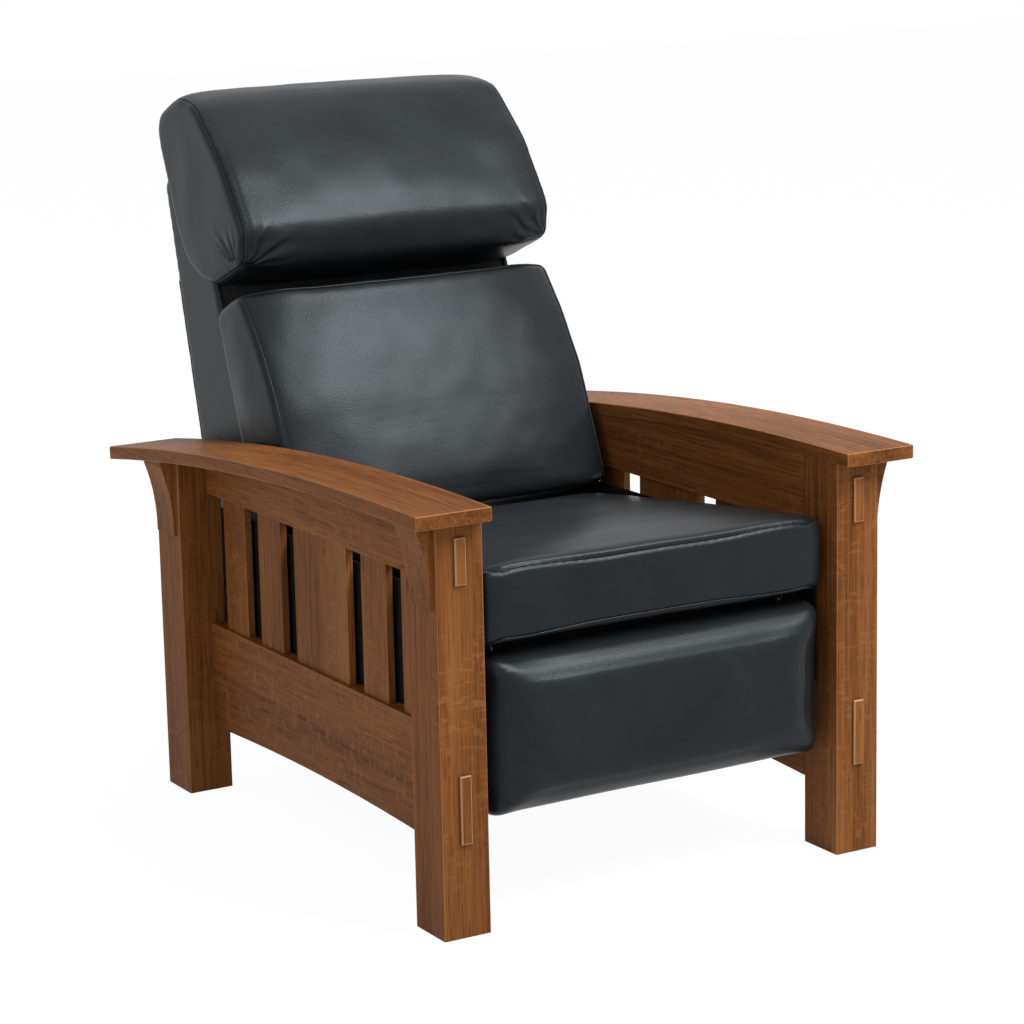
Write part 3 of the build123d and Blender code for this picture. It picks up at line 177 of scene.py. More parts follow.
class Finish:
    """A material under construction."""

    def __init__(self, name):
        self.material = bpy.data.materials.new(name)
        self.material.use_nodes = True
        self.tree = self.material.node_tree
        self.surface = self.tree.nodes["Principled BSDF"]
        coordinates = self.add("ShaderNodeTexCoord", {}, {}, "Object")
        self.place = coordinates

    def add(self, kind, settings, inputs, output=0):
        """One node: its settings first, then the values or links of its sockets."""
        node = self.tree.nodes.new(kind)
        for key, value in settings.items():
            if key == "stops":
                self.set_stops(node, value)
            else:
                setattr(node, key, value)
        for key, value in inputs.items():
            self.feed(node.inputs[key], value)
        return Wire(self, node.outputs[output])

    def set_stops(self, node, stops):
        """Places and colours of a colour ramp."""
        elements = node.color_ramp.elements
        while len(elements) < len(stops):
            elements.new(0.5)
        for element, (position, colour) in zip(elements, stops):
            element.position = position
            element.color = (*colour, 1.0)

    def feed(self, socket, value):
        """A link or a plain value into a socket."""
        if isinstance(value, Wire):
            self.tree.links.new(value.socket, socket)
        elif isinstance(value, (tuple, list)) and len(value) == 3 and socket.type == "RGBA":
            socket.default_value = (*value, 1.0)
        else:
            socket.default_value = value

    def shade(self, **inputs):
        """Values of the surface shader, by socket name with underscores."""
        for key, value in inputs.items():
            self.feed(self.surface.inputs[key.replace("_", " ")], value)

    def stretched(self, scale, shift=(0.0, 0.0, 0.0), turn=(0.0, 0.0, 0.0)):
        """Object coordinates, moved, turned and scaled along each axis."""
        inputs = {"Vector": self.place, "Location": shift, "Rotation": turn, "Scale": scale}
        return self.add("ShaderNodeMapping", {}, inputs)

    def noise(self, vector, scale, detail=2.0, roughness=0.5, distortion=0.0):
        """A cloud pattern, from 0 to 1."""
        inputs = {
            "Vector": vector, "Scale": scale, "Detail": detail,
            "Roughness": roughness, "Distortion": distortion,
        }
        return self.add("ShaderNodeTexNoise", {}, inputs)

    def mix(self, factor, first, second, blend="MIX"):
        """Two colours mixed by a factor."""
        settings = {"data_type": "RGBA", "blend_type": blend}
        return self.add("ShaderNodeMix", settings, {0: factor, 6: first, 7: second}, 2)

    def bump(self, height, strength, distance):
        """A bump that goes to the shader's normal."""
        inputs = {"Strength": strength, "Distance": distance, "Height": height}
        self.shade(Normal=self.add("ShaderNodeBump", {}, inputs))


# Finishes

oak_deep = (0.040, 0.012, 0.003)
oak_dark = (0.098, 0.032, 0.008)
oak_mid = (0.175, 0.061, 0.016)
oak_light = (0.272, 0.110, 0.032)
oak_worn = (0.400, 0.190, 0.080)
# Edge colour of the tenon blocks: partly real rubbing, partly a painted highlight where their chamfers
# catch the light
block_edge_wear_and_highlight = (0.520, 0.300, 0.180)
knot_scale = (150.0, 150.0, 90.0)
plain_scale = (70.0, 70.0, 3.0)
grain_turns = {
    "up": (0.0, 0.0, 0.0),
    "back": (math.pi / 2, 0.0, 0.0),
    "across": (0.0, math.pi / 2, 0.0),
}


def oak(name, grain, seed, tone=0.0, flake=0.5, edge_wear_and_highlight=oak_worn, knot=None):
    """Stained quarter-sawn oak: straight grain, open pores, pale flakes across it, pale rubbed edges; the
    edge colour given may also hold a painted highlight, as on the tenon blocks.
    """
    finish = Finish(name)
    shift = (seed * 0.37, seed * 0.53, seed * 0.71)
    turned = finish.stretched((1.0, 1.0, 1.0), shift, grain_turns[grain])

    def along(scale):
        return finish.add("ShaderNodeVectorMath", {"operation": "MULTIPLY"}, {0: turned, 1: scale})

    broad = finish.noise(along((8.0, 8.0, 0.9)), 1.0, 2.0, 0.5, 0.8)
    bands = finish.noise(along((105.0, 105.0, 2.4)), 1.0, 5.0, 0.66, 0.35)
    streaks = finish.noise(along((300.0, 300.0, 5.0)), 1.0, 3.0, 0.6, 0.2)
    pores = finish.noise(along((430.0, 430.0, 15.0)), 1.0, 2.0, 0.55)
    tones = (broad * 0.42 + bands * 0.42 + streaks * 0.30 + (tone - 0.07)).clamped()
    stops = [(0.24, oak_deep), (0.38, oak_dark), (0.51, oak_mid), (0.72, oak_light)]
    base = finish.add("ShaderNodeValToRGB", {"stops": stops}, {0: tones})
    pore_mask = pores.steps(0.55, 0.66) * 0.5
    base = finish.mix(pore_mask, base, oak_deep)
    flakes = finish.noise(along((34.0, 34.0, 92.0)), 1.0, 2.0, 0.5, 1.3)
    flake_area = finish.noise(along((5.0, 5.0, 2.2)), 1.0, 1.0)
    flake_mask = flakes.steps(0.52, 0.66) * flake_area.steps(0.42, 0.60) * flake
    base = finish.mix(flake_mask, base, oak_light)
    normal = finish.add("ShaderNodeTexCoord", {}, {}, "Normal")
    size = finish.add("ShaderNodeVectorMath", {"operation": "ABSOLUTE"}, {0: normal})
    parts = [finish.add("ShaderNodeSeparateXYZ", {}, {0: size}, part) for part in "XYZ"]
    flatness = parts[0].math("MAXIMUM", parts[1]).math("MAXIMUM", parts[2])
    # Paler edges: real rubbing; with the tenon blocks' edge colour also a painted highlight on their
    # chamfers
    wear = (1.0 - flatness).steps(0.04, 0.22) * (0.35 + bands * 0.5)
    base = finish.mix(wear, base, edge_wear_and_highlight)
    if knot is not None:
        away = finish.add("ShaderNodeVectorMath", {"operation": "SUBTRACT"}, {0: finish.place, 1: knot})
        away = finish.add("ShaderNodeVectorMath", {"operation": "MULTIPLY"}, {0: away, 1: knot_scale})
        ring = finish.add("ShaderNodeVectorMath", {"operation": "LENGTH"}, {0: away}, 1)
        base = finish.mix((1.0 - ring.steps(0.4, 1.5)) * 0.75, base, oak_deep)
    relief = pores.steps(0.5, 0.7) * -1.0 + bands * -0.4
    finish.shade(Base_Color=base, Roughness=0.40 + bands * 0.12 + pore_mask * 0.2)
    finish.surface.inputs["Specular IOR Level"].default_value = 0.06
    finish.bump(relief, 0.3, 0.0006)
    return finish.material


leather_dark = (0.0038, 0.0052, 0.0064)
leather_mid = (0.0074, 0.0098, 0.0118)
leather_light = (0.0135, 0.0172, 0.0200)
# The dark of the seam lines is painted shade in the seam grooves
groove_shade_dark = (0.0020, 0.0023, 0.0026)


def leather(name, seed):
    """Blue-black leather: fine pebble grain, faint pull-up clouds and soft creases."""
    finish = Finish(name)
    place = finish.stretched((1.0, 1.0, 1.0), (seed * 0.31, seed * 0.17, seed * 0.23))
    cloud = finish.noise(place, 5.5, 4.0, 0.6, 0.4)
    fleck = finish.noise(place, 60.0, 3.0, 0.6)
    cells = finish.add("ShaderNodeTexVoronoi", {"feature": "SMOOTH_F1"}, {"Vector": place, "Scale": 620.0})
    coarse = finish.add("ShaderNodeTexVoronoi", {"feature": "SMOOTH_F1"}, {"Vector": place, "Scale": 240.0})
    crease = finish.noise(finish.stretched((1.0, 1.0, 1.0), (seed * 0.7, 0.1, 0.4)), 34.0, 5.0, 0.62, 1.2)
    tones = (cloud * 0.78 + fleck * 0.22).clamped()
    stops = [(0.3, leather_dark), (0.52, leather_mid), (0.76, leather_light)]
    base = finish.add("ShaderNodeValToRGB", {"stops": stops}, {0: tones})
    pits = cells.steps(0.3, 0.75)
    base = finish.mix(pits * 0.3, base, leather_dark)
    finish.shade(Base_Color=base, Roughness=0.30 + cloud * 0.1 + pits * 0.05)
    finish.surface.inputs["Specular IOR Level"].default_value = 0.19
    finish.surface.inputs["Specular Tint"].default_value = (0.86, 0.95, 1.0, 1.0)
    finish.bump(pits * -0.5 + coarse * -0.35 + crease * 0.7, 0.16, 0.0011)
    return finish.material


def groove_shade_finish(name):
    """Painted shade: the dark line in the groove where two panels of leather meet."""
    finish = Finish(name)
    rub = finish.noise(finish.stretched((90.0, 90.0, 90.0)), 1.0, 2.0)
    base = finish.mix(rub.steps(0.55, 0.75), groove_shade_dark, leather_dark)
    finish.shade(Base_Color=base, Roughness=0.7 + rub * 0.2)
    finish.surface.inputs["Specular IOR Level"].default_value = 0.1
    return finish.material


def thread(name):
    """Waxed dark thread with its twist."""
    finish = Finish(name)
    twist = finish.noise(finish.stretched((900.0, 900.0, 900.0)), 1.0, 1.0)
    stops = [(0.35, (0.004, 0.005, 0.006)), (0.65, (0.012, 0.014, 0.016))]
    base = finish.add("ShaderNodeValToRGB", {"stops": stops}, {0: twist})
    finish.shade(Base_Color=base, Roughness=0.55)
    finish.bump(twist, 0.3, 0.0003)
    return finish.material


def plain_wood(name, grain, pale, dark):
    """Unseen frame wood: plain straight grain."""
    finish = Finish(name)
    turned = finish.stretched((1.0, 1.0, 1.0), (0.3, 0.2, 0.5), grain_turns[grain])
    scaled = finish.add("ShaderNodeVectorMath", {"operation": "MULTIPLY"}, {0: turned, 1: plain_scale})
    grain_lines = finish.noise(scaled, 1.0, 4.0, 0.6, 0.4)
    stops = [(0.35, dark), (0.65, pale)]
    base = finish.add("ShaderNodeValToRGB", {"stops": stops}, {0: grain_lines})
    finish.shade(Base_Color=base, Roughness=0.68 + grain_lines * 0.15)
    finish.surface.inputs["Specular IOR Level"].default_value = 0.15
    finish.bump(grain_lines, 0.2, 0.0004)
    return finish.material


def steel(name, colour, metallic, roughness, wear):
    """Painted, zinc plated or oiled steel, with a fine texture."""
    finish = Finish(name)
    grain = finish.noise(finish.stretched((1.0, 1.0, 1.0)), 260.0, 3.0, 0.6)
    cloud = finish.noise(finish.stretched((1.0, 1.0, 1.0)), 22.0, 3.0, 0.6)
    lighter = tuple(min(1.0, part * (1.0 + wear)) for part in colour)
    base = finish.mix(cloud.steps(0.35, 0.7), colour, lighter)
    finish.shade(Base_Color=base, Metallic=metallic, Roughness=roughness + grain * 0.14)
    finish.bump(grain, 0.15, 0.0003)
    return finish.material


def felt(name):
    """Black felted cloth."""
    finish = Finish(name)
    fibres = finish.noise(finish.stretched((1.0, 1.0, 1.0)), 480.0, 4.0, 0.7, 0.6)
    stops = [(0.35, (0.008, 0.008, 0.009)), (0.7, (0.028, 0.028, 0.03))]
    finish.shade(Base_Color=finish.add("ShaderNodeValToRGB", {"stops": stops}, {0: fibres}), Roughness=0.93)
    finish.bump(fibres, 0.5, 0.0008)
    return finish.material


def dress(name, material):
    """Gives a node its finish."""
    slots = nodes[name].data.materials
    slots.clear()
    slots.append(material)


oak_pieces = (
    ("front_leg_left", "up", 0.0, 0.6), ("front_leg_right", "up", 0.01, 0.3),
    ("rear_leg_left", "up", 0.02, 0.3), ("rear_leg_right", "up", 0.0, 0.3),
    ("arm_left", "back", 0.0, 0.25), ("arm_right", "back", 0.0, 0.25),
    ("lower_side_rail_left", "back", 0.0, 0.5), ("lower_side_rail_right", "back", 0.0, 0.4),
    ("upper_side_rail_left", "back", 0.01, 0.5), ("upper_side_rail_right", "back", 0.0, 0.4),
    ("side_slats", "up", 0.02, 0.45), ("corbels", "up", 0.02, 0.3),
    ("rear_stretcher", "across", 0.0, 0.3), ("tenon_blocks", "up", 0.06, 0.1),
)
corbel_knot = tuple(behind_legs(-0.384, 0.074, 0.507))
for seed, (name, grain, tone, flake) in enumerate(oak_pieces):
    # The tenon blocks get a paler edge colour, part rubbing and part painted highlight
    edge_wear_and_highlight = block_edge_wear_and_highlight if name == "tenon_blocks" else oak_worn
    knot = corbel_knot if name == "corbels" else None
    dress(name, oak(f"oak_{name}", grain, seed + 1, tone, flake, edge_wear_and_highlight, knot))

pale_wood = (0.42, 0.29, 0.17)
brown_wood = (0.27, 0.17, 0.09)
# Black paint of the dark-wood boards, which also stands in for the shade behind the side slats
black_shade_paint = (0.0035, 0.003, 0.003)
black_shade_paint_rubbed = (0.009, 0.0075, 0.007)
frame_woods = {
    "across": plain_wood("frame_wood_across", "across", pale_wood, brown_wood),
    "up": plain_wood("frame_wood_up", "up", pale_wood, brown_wood),
}
for name in ("front_cross_rail", "rear_cross_rail", "rear_deck_rail", "footrest_board"):
    dress(name, frame_woods["across"])
for name in ("lower_back_rail", "upper_back_rail"):
    dress(name, frame_woods["across"])
for name in ("arm_dowels", "back_stile_left", "back_stile_right"):
    dress(name, frame_woods["up"])
# Black boards: paint, and painted shade behind the slats
black_shade_board = plain_wood("black_shade_board", "back", black_shade_paint_rubbed, black_shade_paint)
black_steel = steel("black_steel", (0.02, 0.02, 0.021), 0.0, 0.38, 0.5)
zinc_steel = steel("zinc_steel", (0.55, 0.55, 0.53), 1.0, 0.28, 0.12)
spring_steel = steel("spring_steel", (0.26, 0.26, 0.27), 1.0, 0.34, 0.25)
deck_felt = felt("deck_felt")
for slot in frame["record"]["subparts"]:
    name = slot["node"]
    # Dark-wood boards get black paint that also serves as painted shade behind the slats
    if slot["material_slot"] == "dark_wood":
        dress(name, black_shade_board)
    elif slot["material_slot"] == "black_steel":
        dress(name, black_steel)
    elif slot["material_slot"] == "zinc_steel":
        dress(name, zinc_steel)
    elif slot["material_slot"] == "spring_steel":
        dress(name, spring_steel)
    elif slot["material_slot"] == "deck_cloth":
        dress(name, deck_felt)
stitch_thread = thread("stitch_thread")
# Dark lines of painted shade for the seam grooves
groove_shade_line = groove_shade_finish("groove_shade_line")

# Mesh helpers


def new_piece(name, mesh):
    """A linked object."""
    piece = bpy.data.objects.new(name, mesh)
    scene.collection.objects.link(piece)
    return piece


def baked(piece):
    """Turns a piece with modifiers into a plain mesh."""
    graph = bpy.context.evaluated_depsgraph_get()
    mesh = bpy.data.meshes.new_from_object(piece.evaluated_get(graph))
    piece.modifiers.clear()
    piece.data = mesh
    return piece


def skin_of(name, node, voxel, smoothing):
    """An even skin over a node's solid: welded, remeshed and smoothed."""
    mesh = nodes[node].data.copy()
    mesh.materials.clear()
    welded = bmesh.new()
    welded.from_mesh(mesh)
    bmesh.ops.remove_doubles(welded, verts=welded.verts, dist=1e-5)
    welded.to_mesh(mesh)
    welded.free()
    piece = new_piece(name, mesh)
    remesh = piece.modifiers.new("even_skin", "REMESH")
    remesh.mode = "VOXEL"
    remesh.voxel_size = voxel
    relax = piece.modifiers.new("relax", "SMOOTH")
    relax.factor = 0.5
    relax.iterations = smoothing
    return baked(piece)


def points_of(piece):
    """Vertex places as an array."""
    flat = np.zeros(len(piece.data.vertices) * 3)
    piece.data.vertices.foreach_get("co", flat)
    return flat.reshape(-1, 3)


def normals_of(piece):
    """Vertex normals as an array."""
    flat = np.zeros(len(piece.data.vertices) * 3)
    piece.data.vertex_normals.foreach_get("vector", flat)
    return flat.reshape(-1, 3)


def set_points(piece, places):
    """Moves every vertex."""
    piece.data.vertices.foreach_set("co", places.reshape(-1))
    piece.data.update()


def tree_of(piece):
    """Search tree over a piece's faces."""
    vertices = [vertex.co.copy() for vertex in piece.data.vertices]
    polygons = [tuple(polygon.vertices) for polygon in piece.data.polygons]
    return BVHTree.FromPolygons(vertices, polygons)


def evened(path, pitch, closed):
    """The same path with even steps."""
    points = [Vector(point) for point in path]
    if closed:
        points.append(points[0])
    lengths = [0.0]
    for first, second in zip(points, points[1:]):
        lengths.append(lengths[-1] + (second - first).length)
    count = max(2, round(lengths[-1] / pitch))
    result = []
    index = 0
    for step in range(count if closed else count + 1):
        reach = lengths[-1] * step / count
        while index < len(lengths) - 2 and lengths[index + 1] < reach:
            index += 1
        span = lengths[index + 1] - lengths[index]
        share = (reach - lengths[index]) / span if span else 0.0
        result.append(points[index].lerp(points[index + 1], share))
    return result


def laid_on(tree, path, lift=0.0):
    """A path moved onto a surface, with the surface's normals."""
    places = []
    normals = []
    for point in path:
        hit, normal, _, _ = tree.find_nearest(point)
        places.append(hit + normal * lift)
        normals.append(normal)
    return places, normals


def slice_loop(piece, across):
    """The outline where a plane across the chair cuts a piece, longest loop first."""
    cut = bmesh.new()
    cut.from_mesh(piece.data)
    geometry = cut.verts[:] + cut.edges[:] + cut.faces[:]
    made = bmesh.ops.bisect_plane(cut, geom=geometry, plane_co=(across, 0.0, 0.0), plane_no=(1.0, 0.0, 0.0))
    edges = [item for item in made["geom_cut"] if isinstance(item, bmesh.types.BMEdge)]
    links = {}
    for edge in edges:
        first, second = edge.verts
        links.setdefault(first, []).append(second)
        links.setdefault(second, []).append(first)
    seen = set()
    loops = []
    for start in [key for key in links if isinstance(key, bmesh.types.BMVert)]:
        if start in seen:
            continue
        loop = [start]
        seen.add(start)
        while True:
            ahead = [vertex for vertex in links[loop[-1]] if vertex not in seen]
            if not ahead:
                break
            loop.append(ahead[0])
            seen.add(ahead[0])
        loops.append([vertex.co.copy() for vertex in loop])
    cut.free()
    return max(loops, key=len)


def nearest_seam(places, seams):
    """Distance of every vertex from the nearest seam."""
    samples = [point for seam in seams for point in seam]
    tree = KDTree(len(samples))
    for index, point in enumerate(samples):
        tree.insert(point, index)
    tree.balance()
    return np.array([tree.find(place)[2] for place in places])


def softened(piece, field, still):
    """The moves of the skin, evened out, so that stuffing shows and no creases do."""
    ends = np.zeros(len(piece.data.edges) * 2, dtype=int)
    piece.data.edges.foreach_get("vertices", ends)
    first, second = ends.reshape(-1, 2).T
    count = np.maximum(np.bincount(ends, minlength=len(field)), 1)[:, None]
    for _ in range(even_rounds):
        total = np.zeros_like(field)
        np.add.at(total, first, field[second])
        np.add.at(total, second, field[first])
        field = 0.5 * field + 0.5 * total / count
        field[still] = 0.0
    return field


def inflate(piece, seams, held, pressure, cap):
    """Lets the skin swell like stuffed leather. The seams and the held vertices stay."""
    before = points_of(piece)
    still = (nearest_seam(before, seams) < cushion_voxel) | held
    group = piece.vertex_groups.new(name="sewn")
    group.add([int(index) for index in np.nonzero(still)[0]], 1.0, "REPLACE")
    cloth = piece.modifiers.new("stuffing", "CLOTH")
    settings = cloth.settings
    for key, value in stuffing.items():
        setattr(settings, key, value)
    settings.vertex_group_mass = "sewn"
    settings.use_pressure = True
    settings.uniform_pressure_force = pressure
    settings.effector_weights.gravity = 0.0
    cloth.point_cache.frame_start = 1
    cloth.point_cache.frame_end = sim_frames
    for step in range(1, sim_frames + 1):
        scene.frame_set(step)
    graph = bpy.context.evaluated_depsgraph_get()
    after = points_of(piece.evaluated_get(graph))
    scene.frame_set(1)
    piece.modifiers.clear()
    move = after - before
    length = np.linalg.norm(move, axis=1, keepdims=True)
    move *= np.minimum(1.0, cap / np.maximum(length, 1e-9))
    set_points(piece, before + softened(piece, move, still))


def refined(piece, levels=1):
    """A finer, smoother skin."""
    finer = piece.modifiers.new("finer", "SUBSURF")
    finer.levels = levels
    finer.render_levels = levels
    baked(piece)
    piece.data.polygons.foreach_set("use_smooth", [True] * len(piece.data.polygons))
    return piece


def sew(piece, seams, depth):
    """Presses a sewn line into the skin."""
    places = points_of(piece)
    away = nearest_seam(places, seams)
    dip = -depth * np.exp(-((away / seam_half_width) ** 2))
    set_points(piece, places + normals_of(piece) * dip[:, None])


def undulate(piece, size, height, seed, near=None):
    """Soft uneven swells, as in real stuffing."""
    places = points_of(piece)
    normals = normals_of(piece)
    offset = Vector((seed * 3.1, seed * 1.7, seed * 2.3))
    swell = np.array([noise.noise(Vector(place) / size + offset) for place in places])
    if near is not None:
        swell = swell * near(places)
    set_points(piece, places + normals * (swell * height)[:, None])


def pleat(piece, root, toward, spread, reach, folds, depth, seed):
    """A fan of soft folds that run out from a point on the skin."""
    places = points_of(piece)
    normals = normals_of(piece)
    rel = places - np.array(root)
    distance = np.linalg.norm(rel, axis=1)
    main = np.array(toward.normalized())
    face_normal = tree_of(piece).find_nearest(root)[1]
    side = np.cross(np.array(face_normal), main)
    side /= np.linalg.norm(side)
    angle = np.arctan2(rel @ side, rel @ main)
    wobble = np.array([noise.noise(Vector(place) * 40.0 + Vector((seed, seed, seed))) for place in places])
    wave = np.cos((angle + wobble * 0.16) * folds * math.pi / spread)
    along = np.clip(distance / reach, 0.0, 1.0)
    fade = np.sin(math.pi * np.sqrt(along)) ** 1.2 * np.exp(-((angle / (spread * 0.62)) ** 4))
    facing = np.clip(normals @ np.array(face_normal), 0.0, 1.0)
    set_points(piece, places + normals * (wave * fade * depth * facing)[:, None])


def tube(name, path, radius, closed, material, sides=3):
    """A round welt or thread along a path."""
    curve = bpy.data.curves.new(name, "CURVE")
    curve.dimensions = "3D"
    curve.bevel_depth = radius
    curve.bevel_resolution = sides
    curve.use_fill_caps = True
    spline = curve.splines.new("POLY")
    spline.points.add(len(path) - 1)
    spline.points.foreach_set("co", [value for point in path for value in (*point, 1.0)])
    spline.use_cyclic_u = closed
    holder = new_piece(name, curve)
    graph = bpy.context.evaluated_depsgraph_get()
    mesh = bpy.data.meshes.new_from_object(holder.evaluated_get(graph))
    bpy.data.objects.remove(holder)
    mesh.materials.clear()
    mesh.materials.append(material)
    mesh.polygons.foreach_set("use_smooth", [True] * len(mesh.polygons))
    return new_piece(name, mesh)


def stitch_tree():
    """Geometry nodes that lay stitches along a curve."""
    tree = bpy.data.node_groups.new("stitches", "GeometryNodeTree")
    interface = tree.interface
    interface.new_socket("Geometry", in_out="INPUT", socket_type="NodeSocketGeometry")
    for label in ("Pitch", "Stitch length", "Stitch radius"):
        interface.new_socket(label, in_out="INPUT", socket_type="NodeSocketFloat")
    interface.new_socket("Thread", in_out="INPUT", socket_type="NodeSocketMaterial")
    interface.new_socket("Geometry", in_out="OUTPUT", socket_type="NodeSocketGeometry")
    group_in = tree.nodes.new("NodeGroupInput")
    group_out = tree.nodes.new("NodeGroupOutput")

    def add(kind, **settings):
        node = tree.nodes.new(kind)
        for key, value in settings.items():
            setattr(node, key, value)
        return node

    def link(source, target):
        tree.links.new(source, target)

    resample = add("GeometryNodeResampleCurve", mode="LENGTH")
    link(group_in.outputs["Geometry"], resample.inputs["Curve"])
    link(group_in.outputs["Pitch"], resample.inputs["Length"])
    tangent = add("GeometryNodeInputTangent")
    align = add("FunctionNodeAlignEulerToVector", axis="Z")
    link(tangent.outputs["Tangent"], align.inputs["Vector"])
    stitch = add("GeometryNodeMeshUVSphere")
    stitch.inputs["Segments"].default_value = 6
    stitch.inputs["Rings"].default_value = 5
    link(group_in.outputs["Stitch radius"], stitch.inputs["Radius"])
    ratio = add("ShaderNodeMath", operation="DIVIDE")
    link(group_in.outputs["Stitch length"], ratio.inputs[0])
    double = add("ShaderNodeMath", operation="MULTIPLY")
    link(group_in.outputs["Stitch radius"], double.inputs[0])
    double.inputs[1].default_value = 2.0
    link(double.outputs[0], ratio.inputs[1])
    stretch = add("ShaderNodeCombineXYZ")
    stretch.inputs["X"].default_value = 1.0
    stretch.inputs["Y"].default_value = 1.0
    link(ratio.outputs[0], stretch.inputs["Z"])
    transform = add("GeometryNodeTransform")
    link(stitch.outputs["Mesh"], transform.inputs["Geometry"])
    link(stretch.outputs["Vector"], transform.inputs["Scale"])
    instances = add("GeometryNodeInstanceOnPoints")
    link(resample.outputs["Curve"], instances.inputs["Points"])
    link(transform.outputs["Geometry"], instances.inputs["Instance"])
    link(align.outputs["Rotation"], instances.inputs["Rotation"])
    real = add("GeometryNodeRealizeInstances")
    link(instances.outputs["Instances"], real.inputs["Geometry"])
    paint = add("GeometryNodeSetMaterial")
    link(real.outputs["Geometry"], paint.inputs["Geometry"])
    link(group_in.outputs["Thread"], paint.inputs["Material"])
    link(paint.outputs["Geometry"], group_out.inputs["Geometry"])
    return tree


stitch_nodes = stitch_tree()
stitch_sockets = {
    item.name: item.identifier
    for item in stitch_nodes.interface.items_tree
    if item.in_out == "INPUT"
}


def stitches(name, paths, body):
    """Sewn stitches along open or closed paths, as one piece."""
    curve = bpy.data.curves.new(name, "CURVE")
    curve.dimensions = "3D"
    for path, closed in paths:
        spline = curve.splines.new("POLY")
        spline.points.add(len(path) - 1)
        spline.points.foreach_set("co", [value for point in path for value in (*point, 1.0)])
        spline.use_cyclic_u = closed
    holder = new_piece(name, curve)
    modifier = holder.modifiers.new("stitches", "NODES")
    modifier.node_group = stitch_nodes
    modifier[stitch_sockets["Pitch"]] = stitch_pitch
    modifier[stitch_sockets["Stitch length"]] = stitch_length
    modifier[stitch_sockets["Stitch radius"]] = stitch_radius
    modifier[stitch_sockets["Thread"]] = stitch_thread
    graph = bpy.context.evaluated_depsgraph_get()
    mesh = bpy.data.meshes.new_from_object(holder.evaluated_get(graph))
    bpy.data.objects.remove(holder)
    mesh.polygons.foreach_set("use_smooth", [True] * len(mesh.polygons))
    piece = new_piece(name, mesh)
    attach(piece, body)
    return piece


def finish_cushion(piece, node, body, material):
    """The last calls on a padded piece."""
    piece.data.materials.clear()
    piece.data.materials.append(material)
    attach(piece, body)
    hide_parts(node)


def add_piping(name, path, body, material, radius=piping_radius, closed=True):
    """A thin tube along a seam: a leather welt, and with the dark seam finish a line of painted shade in
    the seam groove.
    """
    piece = tube(name, path, radius, closed, material)
    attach(piece, body)
    return piece


# Cushions

seat_low, seat_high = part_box("seat_cushion")


def rounded_plan(low, high, inset, radius):
    """A rectangle with round corners, seen from above, as (x, y) points."""
    x0, y0 = low[0] + inset, low[1] + inset
    x1, y1 = high[0] - inset, high[1] - inset
    centres = (
        (x1 - radius, y0 + radius, -90.0), (x1 - radius, y1 - radius, 0.0),
        (x0 + radius, y1 - radius, 90.0), (x0 + radius, y0 + radius, 180.0),
    )
    points = []
    for x, y, start in centres:
        for step in range(7):
            angle = math.radians(start + 15.0 * step)
            points.append((x + radius * math.cos(angle), y + radius * math.sin(angle)))
    return points


def dropped(tree, plan, from_above):
    """Plan points dropped onto a piece from above, or raised from below."""
    start = 2.0 if from_above else -1.0
    way = Vector((0.0, 0.0, -1.0 if from_above else 1.0))
    result = []
    for x, y in plan:
        hit = tree.ray_cast(Vector((x, y, start)), way)[0]
        if hit is not None:
            result.append(hit)
    return result


def plan_seam(piece, from_above):
    """A closed seam round the top or bottom panel of the seat cushion."""
    outline = rounded_plan(seat_low, seat_high, seat_seam_inset, seat_corner_radius)
    plan = evened([(x, y, 0.0) for x, y in outline], seam_sample, True)
    tree = tree_of(piece)
    return dropped(tree, [(point.x, point.y) for point in plan], from_above)


def make_seat():
    """The boxed seat cushion: crowned top, seams round the top and bottom panels."""
    piece = skin_of("seat_cushion_leather", "seat_cushion", cushion_voxel, cushion_relax_rounds)
    top = plan_seam(piece, True)
    bottom = plan_seam(piece, False)
    held = normals_of(piece)[:, 2] < -0.8
    inflate(piece, [top, bottom], held, cushion_pressure, seat_swell)
    refined(piece)
    tree = tree_of(piece)
    top, _ = laid_on(tree, top)
    bottom, _ = laid_on(tree, bottom)
    undulate(piece, 0.13, 0.0018, 3)
    sew(piece, [top], seat_top_seam_depth)
    sew(piece, [bottom], seat_bottom_seam_depth)
    tree = tree_of(piece)
    bottom, _ = laid_on(tree, bottom, piping_radius * 0.5)
    finish_cushion(piece, "seat_cushion", "root", leather("seat_leather", 1))
    top = evened(laid_on(tree, top)[0], seam_sample, True)
    # The top seam's dark line is painted shade in its groove
    add_piping("seat_top_seam", top, "root", groove_shade_line, groove_shade_radius)
    add_piping("seat_bottom_welt", evened(bottom, seam_sample, True), "root", welt_leather)


